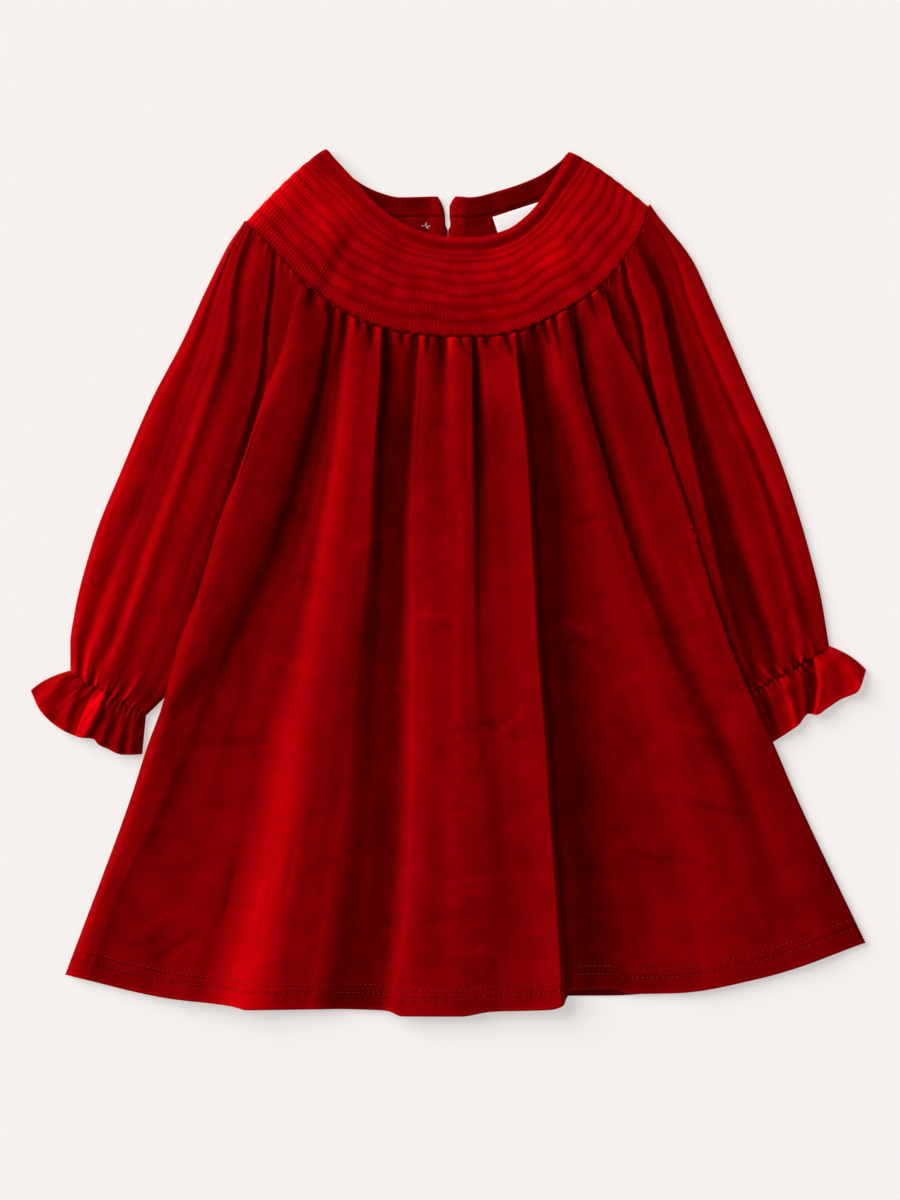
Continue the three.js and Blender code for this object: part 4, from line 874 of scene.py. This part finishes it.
fine_down = np.linspace(0, 1, 61)
lines = (LEFT_EDGE, *SKIRT_FOLDS, RIGHT_EDGE)
line_x = curves(fine_down, [
    edge_left(fine_down),
    *[followed(fold, fine_down) for fold in SKIRT_FOLDS],
    edge_right(fine_down),
])
line_rise = curves(DOWN, [line[RISE] for line in lines])
line_painted_shading = curves(DOWN, [line[PAINTED_SHADING] for line in lines])
inner_left = through(LIFT_LEFT)
inner_right = through(LIFT_RIGHT)


def sleeve_lift(x, y):
    """How far the sleeve under the skirt's side lifts it: full outside the sleeve's inner edge."""
    opened = soft((LIFT_START - y) / LIFT_START_FADE)
    left = soft(1 - (x - inner_left(y)) / LIFT_REACH) * soft(1 - (LIFT_END_LEFT - y) / LIFT_END_FADE)
    right = soft(1 - (inner_right(y) - x) / LIFT_REACH) * soft(1 - (LIFT_END_RIGHT - y) / LIFT_END_FADE)
    return SKIRT_LIFT * opened * np.maximum(left, right)


def skirt_places(rows, pitch, top, hem, gap):
    """The places of a skirt panel's grid: s across, t down, x, y, the rise of its folds and their painted
    shading.

    Between two fold lines, x = lerp of the lines, and rise and painted shading = smooth steps from one to
    the other, all at the height on the front panel where y lies.
    """
    last = len(lines) - 1
    middle = line_x(np.arange(last + 1), 0.45)
    counts = 2 * np.maximum(2, np.round(np.diff(middle) / pitch / 2).astype(int))
    k = np.concatenate([np.full(n, i) for i, n in enumerate(counts)] + [[last - 1]])[:, None]
    f = np.concatenate([np.arange(n) / n for n in counts] + [[1.0]])[:, None]
    t = rows[None, :]
    span = edge_right(t) - edge_left(t)
    s = (lerp(line_x(k, t), line_x(k + 1, t), f) - edge_left(t)) / span
    y = lerp(beside(top, at_top(s), gap), hem(at_hem(s)), t)
    seam = beside(yoke_edge, at_top(s))
    level = np.clip((seam - y) / (seam - hem_front(at_hem(s))), 0, 1)
    x = lerp(line_x(k, level), line_x(k + 1, level), f)
    rise = lerp(line_rise(k, level), line_rise(k + 1, level), soft(f))
    painted_shading = lerp(line_painted_shading(k, level), line_painted_shading(k + 1, level), soft(f))
    return s, t + 0 * s, x, y, rise, painted_shading


def gathered(x, down):
    """The pinched slits (0 to 1 deep, and their depth) and the knots of cloth between them."""
    slits, depth = 0, 0
    for start, end, reach, half, deep in SLITS:
        away = x - lerp(start, end, down / reach)
        slit = np.exp(-((away / half) ** 2)) * bump(down, reach)
        slits = np.maximum(slits, slit)
        depth = depth + deep * slit
    knots = sum(rise * bump(x - at, half) * bump(down, reach) for at, half, rise, reach in KNOTS)
    return slits, depth, knots


def hem_grooves(away):
    """1 on the hem's stitched lines and 0 beside them."""
    return sum(bump(away - line, GROOVE_HALF) for line in HEM_STITCHES)


def hemmed(away, s):
    """A turned-up hem: thicker, with two stitched grooves and puckers beside them."""
    turned = HEM_THICK * soft((HEM_TURN - away) / 1.2)
    puckers = PUCKER_RISE * np.sin(s * HEM_WIDTH / PUCKER_PITCH * 2 * np.pi) * bump(away - 10, 9)
    return turned - GROOVE_DEPTH * hem_grooves(away) + puckers


def skirt_rows(count_top, count_middle, count_hem):
    """Places down a skirt panel, closer under the yoke and in the hem."""
    parts = [
        np.linspace(0, 0.1, count_top, endpoint=False),
        np.linspace(0.1, 0.95, count_middle, endpoint=False),
        np.linspace(0.95, 1, count_hem + 1),
    ]
    return np.concatenate(parts)


front_rows = skirt_rows(44, 104, 24)
s, t, x, y, rise, painted_shading = skirt_places(front_rows, 1, yoke_edge, hem_front, -TUCK)
length = beside(yoke_edge, at_top(s)) - hem_front(at_hem(s))
from_seam = t * length
from_hem = (1 - t) * length
slits, slit_depth, knots = gathered(x, from_seam)
lifted = FRONT_REST + rise + 0.6 * knots + LIFT_SPARE * sleeve_lift(x, y)
under = joined(x, y, lifted)
level = np.maximum(normals(under)[..., 2], STEEPEST)
creases = creased(x, y, CREASES)
fine = 0.4 * knots - 0.6 * slit_depth + creases + hemmed(from_hem, s)
fine = fine + ripples(x, y, 7, 0.16, 22, 60) * soft(t / 0.1)
front_top = tucked(joined(x, y, lifted + CLOTH / level + fine), from_seam, TUCK_HEIGHT + TUCK_HALF)
under = tucked(under, from_seam, TUCK_HEIGHT - TUCK_HALF)
on_cloth = joined(s * SKIRT_WIDTH, t * SKIRT_LENGTH)
# Painted shading of the skirt: from the fold tables, with painted shade in the slits and stitched grooves,
# painted highlights on the knots and the folded hem edge, and both along the creases
painted_shading = painted_shading + SLIT_PAINTED_SHADE * slits + PUFF_PAINTED_HIGHLIGHT * knots + CREASE_PAINTED_SHADING * creases
painted_shading = painted_shading + GROOVE_PAINTED_SHADE * hem_grooves(from_hem) + EDGE_PAINTED_HIGHLIGHT * bump(from_hem, 3)
skirt_front = shell("skirt_front_cloth", front_top, under, on_cloth, velvet, painted_shading=painted_shading)
finish_piece(skirt_front, "skirt_front")

# The panel's mean length from the seam to the hem, by which the stitched lines' rows are found
HEM_DROP = 375
hem_rows = np.interp(1 - np.array(HEM_STITCHES) / HEM_DROP, front_rows, np.arange(len(front_rows)))
columns = np.linspace(2, len(s) - 3, 1500)
hem_seams = [stitched(front_top, columns, np.full(len(columns), row), STITCH_LENGTH, STITCH_GAP)
             for row in hem_rows]

s, t, x, y, rise, painted_shading = skirt_places(skirt_rows(16, 52, 10), 2.4, back_edge, hem_back, 0.05)
low = BACK_SHARE * np.maximum(0, rise - LOW_FOLD) * soft(t / BACK_FADE) + sleeve_lift(x, y)
on_cloth = joined(s * SKIRT_WIDTH, t * SKIRT_LENGTH)
# The back panel has the same painted shading as the front, from the fold tables
skirt_back = shell("skirt_back_cloth", joined(x, y, low + CLOTH), joined(x, y, low), on_cloth, velvet,
                   painted_shading=painted_shading)
finish_piece(skirt_back, "skirt_back")


# Sleeves

def turns(across, folds):
    """The turns of a flattened tube, as (along, turn) arrays: over its top, round, and back below."""
    flat = np.arange(across + 1) / across
    arc = np.pi * np.arange(1, folds + 1) / (folds + 1)
    along = np.concatenate([flat, np.ones(folds), 1 - flat, np.zeros(folds)])
    turn = np.concatenate([0 * flat, arc, 0 * flat + np.pi, arc + np.pi])
    return along[:, None], turn[:, None]


def pinched(f):
    """The uneven line of the elastic: two sines across the sleeve, 0 at its sides."""
    wave = 0.9 * np.sin(10 * np.pi * f + 1) + 0.6 * np.sin(19 * np.pi * f)
    return wave * np.sin(np.pi * np.clip(f, 0, 1))


def outwards(sections):
    """The direction from a sleeve into its frill."""
    last, before = np.array(sections[-1], float), np.array(sections[-2], float)
    out = last[:2] - before[:2]
    return out / np.linalg.norm(out)


def sleeve_plan(sections):
    """x and y of a sleeve at f across and t down: straight across each section, but along the
    yoke's edge at its mouth and along the elastic at its end."""
    table = np.array(sections, float)
    out = outwards(sections)
    edges = curves(np.linspace(0, 1, len(table)), table.T)

    def plan(f, t):
        mouth_x = lerp(edges(0, 0.0), edges(2, 0.0), f)
        mouth_y = lerp(edges(1, 0.0), edges(3, 0.0), f)
        sag = beside(yoke_edge, mouth_x, -TUCK) - mouth_y
        fade = np.maximum(0, 1 - t / SLEEVE_MOUTH) ** 2
        wave = pinched(f) * soft((t - 0.93) / 0.07)
        x = lerp(edges(0, t), edges(2, t), f) + wave * out[0]
        y = lerp(edges(1, t), edges(3, t), f) + wave * out[1] + sag * fade
        return x, y

    return plan


def folded(folds, f, t, column, places, side):
    """A column of the folds (RISE, or PAINTED_SHADING for their painted shading) at f across and t down:
    smooth steps from each line to the next one, and from and to a value along the sides."""
    rim = (0,) * len(places)
    across = curves(places, [rim, *[fold[PLACE] for fold in folds], (1,) * len(places)])
    values = curves(places, [rim, *[fold[column] for fold in folds], rim])
    last = len(folds) + 1
    total = 0
    for k in range(last):
        a, b = across(k, t), across(k + 1, t)
        before = values(k, t) if k else side
        after = values(k + 1, t) if k + 1 < last else side
        inside = (f >= a) & ((f < b) | (k + 1 == last)) if k else f < b
        total = total + np.where(inside, lerp(before, after, soft((f - a) / (b - a))), 0)
    return total


def pleated(f, away, pleats, half):
    """The bumps of pleats, gathers or knots that fade out away from the line that draws them in."""
    return sum(rise * bump(f - at, half) * bump(away, length) for at, rise, length in pleats)


def upward(turn):
    """How far up a turn lies, (1 + cos(turn)) / 2: 1 on the top layer and 0 on the lower one."""
    return (1 + np.cos(turn)) / 2


tube_turns = turns(131, 9)
above = upward(tube_turns[1])


def tube(t, plan, high):
    """The outer and inner grids of a flattened tube whose top layer's under side is high(f, t).

    Round its sides f follows sin(turn) and z follows cos(turn), so that each side is a half circle.
    """
    along, turn = tube_turns
    zero = 0 * t
    rim = FRONT_REST + high(zero, t) + CLOTH
    width = np.hypot(plan(zero + 1, t)[0] - plan(zero, t)[0], plan(zero + 1, t)[1] - plan(zero, t)[1])
    inset = rim / 2 / width
    sides = []
    for inner in (False, True):
        own = (rim / 2 - CLOTH) / (rim / 2) if inner else 1
        f = inset + along * (1 - 2 * inset) + inset * np.clip(own, 0.1, 1) * np.sin(turn)
        rise = high(f, t)
        low = SLEEVE_SHARE * np.maximum(0, rise - LOW_FOLD) + CLOTH * inner
        top = FRONT_REST + rise + CLOTH * (not inner)
        sides.append(joined(*plan(f, t), lerp(low, top, above)))
    return sides, f + zero


def sleeve(name, node, sections, folds, seed):
    """A sleeve tube, with gathers at the yoke, pleats at the elastic and soft unevenness between."""
    t = np.linspace(0, 1, 171)[None, :]
    t = lerp(t, soft(t), 0.35)
    t[0, [1, -2]] = 0.0015, 0.9985
    plan = sleeve_plan(sections)
    settle = through(((0, YOKE_REST - FRONT_REST), (SLEEVE_SETTLE, 0), (1, 0)))

    def high(f, t):
        away = (1 - t) * SLEEVE_LENGTH
        rise = folded(folds, f, t, RISE, SLEEVE_DOWN, settle(t))
        rise = rise * lerp(SETTLED, 1, soft(away / SETTLED_REACH))
        return rise + pleated(f, away, CUFF_PLEATS, PLEAT_HALF)

    (outer, inner), f = tube(t, plan, high)
    from_yoke = t * SLEEVE_LENGTH
    away = (1 - t) * SLEEVE_LENGTH
    fine_pleats = pleated(f, away, FINE_PLEATS, FINE_HALF)
    gathers = pleated(f, from_yoke, SLEEVE_GATHERS, GATHER_HALF)
    knots = pleated(f, away, CUFF_KNOTS, KNOT_HALF)
    uneven = ripples(outer[..., 0], outer[..., 1], seed, 0.2, 18, 50)
    fine = fine_pleats + gathers + knots + uneven * soft(t / 0.1) * soft((1 - t) / 0.1)
    drawn = DRAWN * bump(away, DRAWN_REACH) + DRAWN * bump(away, 1.8)
    outer[..., 2] += above * (fine * soft(np.minimum(f, 1 - f) / SIDE_FADE) - drawn)
    sunk = tucked(outer.copy(), from_yoke, TUCK_HEIGHT + TUCK_HALF)
    outer = lerp(outer, sunk, above[..., None])
    on_cloth = joined(f * SLEEVE_WIDTH, from_yoke)
    # Painted shading of a sleeve: from the fold tables, with painted highlights on the tops of pleats,
    # gathers and knots and painted shade between them
    painted_shading = folded(folds, f, t, PAINTED_SHADING, SLEEVE_DOWN, SIDE_PAINTED_SHADING)
    pleats = fine_pleats + pleated(f, away, CUFF_PLEATS, PLEAT_HALF)
    painted_shading = painted_shading + PLEAT_PAINTED_SHADING * (pleats - PLEAT_MEAN * bump(away, 40))
    painted_shading = painted_shading + GATHER_PAINTED_SHADING * (gathers - GATHER_MEAN * bump(from_yoke, 16))
    painted_shading = painted_shading + KNOT_PAINTED_SHADING * (knots - KNOT_MEAN * bump(away, 8))
    made = shell(name, outer, inner, on_cloth, sleeve_velvet, closed=True, painted_shading=painted_shading)
    finish_piece(made, node)


sleeve("sleeve_right_cloth", "sleeve_right", SLEEVE_LEFT, SLEEVE_FOLDS_LEFT, 11)
sleeve("sleeve_left_cloth", "sleeve_left", SLEEVE_RIGHT, SLEEVE_FOLDS_RIGHT, 12)


# Frills

def even_line(points):
    """A smooth line through points, as a function of the share of its length."""
    table = np.array(points, float)
    reach = reached(table)
    curve = curves(reach / reach[-1], table.T)
    return lambda f: (curve(0, f), curve(1, f))


def frill(name, node, sections, edge, folds, seed):
    """A frill that flares from the elastic to its free edge, with folds that grow on the way."""
    last = sections[-1]
    out = outwards(sections)
    side = np.array([last[2] - last[0], last[3] - last[1]])
    side /= np.linalg.norm(side)
    end = even_line(edge)

    def plan(f, t):
        shift = pinched(f) - CUFF_TUCK
        sx = lerp(last[0], last[2], f) + shift * out[0]
        sy = lerp(last[1], last[3], f) + shift * out[1]
        ex, ey = end(np.clip(f, 0, 1))
        bow = FRILL_BOW * np.sin(np.pi * t) * (1 - np.clip(f, 0, 1)) ** 3
        return lerp(sx, ex, t) - bow * side[0], lerp(sy, ey, t) - bow * side[1]

    def high(f, t):
        pleats = pleated(f, 0 * t, CUFF_PLEATS, PLEAT_HALF) * (1 - t)
        return pleats + folded(folds, f, t, RISE, FRILL_DOWN, 0) * soft(t / 0.3)

    t = np.linspace(0, 1, 61)[None, :]
    (outer, inner), f = tube(t, plan, high)
    away = t * FRILL_LENGTH
    knots = pleated(f, away, CUFF_KNOTS, KNOT_HALF)
    fine = pleated(f, away, FINE_PLEATS, FINE_HALF)
    fine = (fine + ripples(outer[..., 0], outer[..., 1], seed, 0.3, 7, 20)) * soft(t / 0.15) + knots
    drawn = DRAWN * bump(away, DRAWN_REACH)
    outer[..., 2] += above * (fine * soft(np.minimum(f, 1 - f) / SIDE_FADE) - drawn)
    sunk = inner[..., 2] + CUFF_THIN
    outer[..., 2] = lerp(outer[..., 2], sunk, above * (1 - soft(away / TUCK_REACH)))
    on_cloth = joined(f * FRILL_WIDTH, t * FRILL_DEPTH)
    # Painted shading of a frill: from the fold tables, with painted highlights on the knots and the free
    # edge and painted shade between the knots
    painted_shading = folded(folds, f, t, PAINTED_SHADING, FRILL_DOWN, SIDE_PAINTED_SHADING)
    painted_shading = painted_shading + KNOT_PAINTED_SHADING * (knots - KNOT_MEAN * bump(away, 8))
    painted_shading = painted_shading + EDGE_PAINTED_HIGHLIGHT * bump(FRILL_LENGTH - away, 2.5)
    made = shell(name, outer, inner, on_cloth, sleeve_velvet, closed=True, painted_shading=painted_shading)
    finish_piece(made, node)


frill("frill_right_cloth", "frill_right", SLEEVE_LEFT, FRILL_EDGE_LEFT, FRILL_FOLDS_LEFT, 21)
frill("frill_left_cloth", "frill_left", SLEEVE_RIGHT, FRILL_EDGE_RIGHT, FRILL_FOLDS_RIGHT, 22)


# Yoke and neckband

front_neck = walk(neck_front, NECK_LEFT, NECK_RIGHT)
front_outer = walk(yoke_edge, SHOULDER_LEFT, SHOULDER_RIGHT)
back_halves = {
    "neck": (walk(neck_back, NECK_LEFT, 0), walk(neck_back, 0, NECK_RIGHT)),
    "outer": (walk(back_edge, SHOULDER_LEFT, 0), walk(back_edge, 0, SHOULDER_RIGHT)),
}


def back_line(kind, f):
    """A point of the back neckline or of the back yoke's edge, half its columns on each side."""
    left, right = back_halves[kind]
    return np.where((f < 0.5)[..., None], left(2 * f), right(2 * f - 1))


ROW_COUNT = len(ROWS) - 1


def ring_plan(f, deep, up, side):
    """x and y of the ring round the neck: f from shoulder to shoulder, deep from the neckline to the
    yoke's edge, up 1 on the front and 0 on the back, where the slit pushes the points aside."""
    f = f + 0 * deep
    deep = deep + 0 * f
    front = lerp(front_neck(f), front_outer(f), deep[..., None])
    back = lerp(back_line("neck", f), back_line("outer", f), deep[..., None])
    near = np.maximum(0, 1 - np.abs(back[..., 0]) / SLIT_REACH) ** 2
    back[..., 0] += near * np.where(side < 0, slit_left(back[..., 1]), slit_right(back[..., 1]))
    plan = lerp(back, front, up[..., None])
    wave = 0.3 * np.sin(2 * np.pi * 31 * f) + 0.3 * np.sin(2 * np.pi * 47 * f + 2)
    plan[..., 1] += wave * soft((deep - 0.9) / 0.1) * soft(12 * np.minimum(f, 1 - f))
    scallop = 0.12 * np.cos(2 * np.pi * ROW_COUNT * deep)
    full = BULGE * np.sin(np.pi * np.clip(deep, 0, 1) ** BULGE_POWER)
    for away, way in ((f, OUT_LEFT), (1 - f, OUT_RIGHT)):
        out = (full + scallop * soft(deep / 0.2)) * bump(away, 0.07) * soft((1 - deep) / 0.15)
        plan = plan + out[..., None] * np.array(way)
        plan[..., 1] += CORNER_LIFT * bump(away, 0.035) * bump(deep, 0.2)
    return plan


def ring_turns(front, back, folds):
    """The ring's columns (along, turn, side), from one side of the slit round to the other."""
    half = np.linspace(0.5, 0, back + 1)
    arc = np.pi * np.arange(1, folds + 1) / (folds + 1)
    whole = np.linspace(0, 1, front + 1)
    along = np.concatenate([half, np.zeros(folds), whole, np.ones(folds), 1 - half[::-1]])
    turn = np.concatenate([half * 0 + np.pi, arc + np.pi, whole * 0, arc, half * 0 + np.pi])
    side = np.concatenate([half * 0 - 1, arc * 0 - 1, whole * 0, arc * 0 + 1, half * 0 + 1])
    return along[:, None], turn[:, None], side[:, None]


def band_depth(columns, extra):
    """How deep the neckband reaches as a share of the way to the yoke's edge."""
    along, turn, _ = columns
    away = soft(SHOULDER_FADE * np.minimum(along, 1 - along))
    front = lerp(BAND_SHOULDER, BAND_FRONT, away) + extra
    back = lerp(BAND_SHOULDER, BAND_BACK, away) + extra
    front_length = np.linalg.norm(front_outer(along) - front_neck(along), axis=-1)
    back_length = np.linalg.norm(back_line("outer", along) - back_line("neck", along), axis=-1)
    return lerp(back / back_length, front / front_length, upward(turn))


def button_lift(x, y):
    """The back is lifted where it lies on the button."""
    away = np.hypot(x - BUTTON_X, y - BUTTON_Y)
    return (BUTTON_HEIGHT + SEAM) * (1 - soft((away - 6.5) / 7))


def ring(columns, depths, thickness, rest):
    """The outer and inner grids of the ring, without its finer form."""
    along, turn, side = columns
    up = upward(turn)
    reach = (rest + thickness) / 2
    inset = reach / RING_WIDTH
    grids = []
    for inner in (False, True):
        own = (rest - thickness) / 2 / reach if inner else 1
        f = inset + along * (1 - 2 * inset) + inset * own * np.sin(turn)
        xy = ring_plan(f, depths, up + 0 * depths, side)
        low = (thickness if inner else 0) + (1 - up) * button_lift(xy[..., 0], xy[..., 1])
        high = rest if inner else rest + thickness
        grids.append(np.dstack([xy, lerp(low, high, up)]))
    return grids, f + 0 * depths, up + 0 * depths


# The slit's turned-in edges inside the back: thickness, width, and y of their lower end
FACING_THICK, FACING_WIDTH, FACING_END = 0.8, 10.5, 176
# The painted shading in the yoke's grooves and of the neckband, the painted shade inside the neck, and the
# painted highlight that a millimetre of a turned-in edge adds to the last
YOKE_PAINTED_SHADING, BAND_PAINTED_SHADING, INSIDE_PAINTED_SHADE, FACING_PAINTED_HIGHLIGHT = 0.36, 0.5, 0.27, 0.3


def facing(grid):
    """The height of the slit's turned-in edges, with uneven inner edges."""
    x, y = grid[..., 0], grid[..., 1]
    away = np.abs(x) + 0.8 * np.sin(y * 1.7) + 0.5 * np.sin(y * 4.1)
    return FACING_THICK * soft((FACING_WIDTH - away) / 1.2) * soft((y - FACING_END) / 2)


def inside_painted_shade(inner, up):
    """The painted shading of the under side: painted shade inside the neck, with painted highlights on the
    turned-in edges on the back.
    """
    return INSIDE_PAINTED_SHADE + (1 - up) * FACING_PAINTED_HIGHLIGHT * facing(inner)


columns = ring_turns(RIBS * 6, 110, 9)
along = columns[0]
row = np.linspace(0, 1, 8 * ROW_COUNT + 1)[None, :]
(outer, inner), f, up = ring(columns, lerp(band_depth(columns, BAND_TUCK), 1, row), CLOTH, YOKE_REST)
middle = np.sin(np.pi * row)
wander = 0.14 * np.sin(2 * np.pi * 3 * f) + 0.12 * np.sin(2 * np.pi * 7 * f + 1)
puff_place = curves(ROWS, np.arange(ROW_COUNT + 1))(0, row) + wander * middle
puff = np.abs(np.sin(np.pi * puff_place)) ** 0.6
puff = np.where((puff_place < 0) | (puff_place > ROW_COUNT), 0, puff)
shift = 0.33 * np.sin(2.4 * np.floor(puff_place))
rib = np.abs(np.sin(np.pi * (RIBS * f + shift))) ** 0.8
crown = CROWN * soft(SHOULDER_FADE * along) * soft(SHOULDER_FADE * (1 - along))
lower = soft((row - 0.2) / 0.3)
left_crease = f - 0.212 + 0.012 * row
crease = 0.9 * lower * bump(left_crease, 0.03) + 0.4 * bump(f - 0.36, 0.02) * (1 - row)
puffed = puff * (0.45 + 0.55 * rib)
uneven = ripples(outer[..., 0], outer[..., 1], 31, 0.3, 14, 36)
drawn_in = lerp(1, 0.55, row * bump(f - 0.42, 0.3))
relief = middle * (crown - crease + uneven) + RIB_RISE * drawn_in * puffed - 0.15
outer[..., 2] += up * relief + (1 - up) * 0.45 * (1 - puff * rib)
inner[..., 2] += (1 - up) * facing(inner)
# Painted shading of the yoke: painted highlights on both shoulders, at the left shoulder's end (rim) and
# on the puffed rows and rib tips; painted shade in the left crease and along the yoke's lower edge
shoulder = 0.45 * bump(f - 0.1, 0.12) * bump(row - 0.35, 0.5)
shoulder = shoulder + 0.4 * bump(f - 0.75, 0.22) * bump(row - 0.3, 0.5)
rim = 0.55 * bump(f, 0.045) * soft(row / 0.3)
patchy = drawn_in * (1 + ripples(outer[..., 0], outer[..., 1], 33, 0.22, 9, 26))
yoke_painted_shading = YOKE_PAINTED_SHADING + 0.6 * shoulder + rim + patchy * (0.18 * puff + 0.32 * puff * rib)
yoke_painted_shading = yoke_painted_shading - 0.22 * lower * bump(left_crease, 0.025) - 0.3 * soft((row - 0.96) / 0.04)
on_cloth = joined(f * RING_ROUND, row * YOKE_DEPTH)
yoke = shell("yoke_cloth", outer, inner, on_cloth, shirred, painted_shading=yoke_painted_shading, painted_shading_under=inside_painted_shade(inner, up))
finish_piece(yoke, "yoke")

columns = ring_turns(240, 70, 9)
row = np.linspace(0, 1, 25)[None, :]
(outer, inner), f, up = ring(columns, band_depth(columns, 0) * row, BAND, YOKE_REST)
roll = 0.9 * bump(row - 0.35, 0.5) - 0.7 * soft((row - 0.66) / 0.34)
puckers = 0.12 * np.sin(2 * np.pi * 54 * f) * bump(row - 0.85, 0.3)
outer[..., 2] += up * (roll + puckers)
inner[..., 2] += (1 - up) * (0.7 * facing(inner) + 0.25 * bump(row - 0.12, 0.3))
# Painted highlights on the neckband's roll and along its edge by the yoke
band_painted_shading = BAND_PAINTED_SHADING + 0.2 * bump(row - 0.25, 0.35) + 0.2 * bump(row - 0.9, 0.08)
on_cloth = joined(f * RING_ROUND, row * BAND_DEPTH)
neckband = shell("neckband_cloth", outer, inner, on_cloth, velvet, painted_shading=band_painted_shading,
                 painted_shading_under=inside_painted_shade(inner, up))
finish_piece(neckband, "neckband")


# Label, button, threads

def label_grid(thickness, columns=49, rows=25):
    """The label's top or under side: a strip that bows a little and lifts towards its free edge."""
    u, v = np.meshgrid(np.linspace(0, 1, columns), np.linspace(0, 1, rows), indexing="ij")
    a, b = u * LABEL_LENGTH, -v * LABEL_DEPTH
    bow = 0.25 * np.sin(np.pi * v) + 0.12 * np.sin(2 * np.pi * u + 1) * v
    z = LABEL_REST + thickness + np.where(thickness > 0, bow, 0) * soft(v / 0.15)
    x = LABEL_X + a * np.cos(LABEL_TILT) - b * np.sin(LABEL_TILT)
    y = LABEL_Y + a * np.sin(LABEL_TILT) + b * np.cos(LABEL_TILT)
    return joined(x, y, z), joined(a, b)


label_top, label_uv = label_grid(0.5)
label_under, _ = label_grid(0.0)
label = shell("label_tape", label_top, label_under, label_uv, woven)
finish_piece(label, "label")

turn = np.linspace(0, 2 * np.pi, BUTTON_SIDES, endpoint=False)
radius, height = np.array(BUTTON_PROFILE).T[..., None]
points = joined(BUTTON_X + radius * np.cos(turn), BUTTON_Y + radius * np.sin(turn), height)
number = np.arange(points[..., 0].size).reshape(-1, BUTTON_SIDES)
button = mesh_object("button_disc", points.reshape(-1, 3), rings(number), resin)
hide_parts("button")
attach(button, "root")

stitches = threads("stitches", hem_seams, (2, 0.38, 0.26), thread)
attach(stitches, "root")

# The button's thread on the inside: a loop, and loose ends (direction, length, sideways bend)
THREAD_RADIUS = 0.2
THREAD_ENDS = ((1.15, 3, 0.6), (0.5, 2.9, -0.5), (0.15, 2.6, 0.4), (-0.35, 2.4, -0.3), (1.7, 2, -0.4))
s = np.linspace(0, 1, 24)
turn = 2 * np.pi * s
strands = [joined(-13.7 + 1.25 * np.cos(turn + 0.4), 199.4 + 1.05 * np.sin(turn + 0.4),
                  2.9 + 0.3 * np.sin(turn))]
for aim, run, bend in THREAD_ENDS:
    strands.append(joined(
        -12.6 + run * s * np.cos(aim) - bend * s * s * np.sin(aim),
        199.5 + run * s * np.sin(aim) + bend * s * s * np.cos(aim),
        2.8 + 0.7 * np.sin(np.pi * s * 0.7),
    ))
tuft = cords("thread_ends", strands, THREAD_RADIUS, loose_thread)
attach(tuft, "root")

# Studio: a pale board under the dress, a large soft light from the upper left and an even sky

# The board's half width and how far it lies under the cloth, in metres
BOARD_HALF, BOARD_DROP = 8, 0.0003
ground = bpy.data.meshes.new("board")
corners = [(a * BOARD_HALF, b * BOARD_HALF, 0) for a, b in ((-1, -1), (1, -1), (1, 1), (-1, 1))]
ground.from_pydata(corners, [], [(0, 1, 2, 3)])
ground.materials.append(board)
floor = bpy.data.objects.new("board", ground)
floor.location.z = -BOARD_DROP
bpy.context.scene.collection.objects.link(floor)


def broad_light(name, turned, strength, spread, code):
    """A far light with a broad face: turned by x, y, z degrees, spread as its angle in degrees."""
    data = bpy.data.lights.new(name, "SUN")
    data.energy = strength
    data.angle = np.radians(spread)
    data.color = linear(code)[:3]
    lamp = bpy.data.objects.new(name, data)
    lamp.rotation_euler = tuple(np.radians(turned))
    bpy.context.scene.collection.objects.link(lamp)


broad_light("key light", (57, 0, 236), 4.2, 50, "#fffdfb")

world = bpy.data.worlds.new("studio")
world.use_nodes = True
sky = world.node_tree.nodes["Background"]
sky.inputs["Color"].default_value = (1, 1, 1, 1)
sky.inputs["Strength"].default_value = 0.26
bpy.context.scene.world = world
bpy.context.scene.view_settings.view_transform = "Standard"

# Camera straight above the picture's middle, with a lens for which the picture's height takes in
# PICTURE_HEIGHT at CLOTH_HEIGHT over the floor; all in metres but the sensor
CAMERA_HEIGHT = 2.4
CLOTH_HEIGHT = 0.004
PICTURE_HEIGHT = 0.672
PICTURE_X, PICTURE_Y = 0.00112, -0.00924
SENSOR = 36
camera_data = bpy.data.cameras.new("camera")
camera_data.sensor_width = SENSOR
camera_data.lens = SENSOR * (CAMERA_HEIGHT - CLOTH_HEIGHT) / PICTURE_HEIGHT
camera = bpy.data.objects.new("camera", camera_data)
camera.location = (PICTURE_X, PICTURE_Y, CAMERA_HEIGHT)
bpy.context.scene.collection.objects.link(camera)
bpy.context.scene.camera = camera
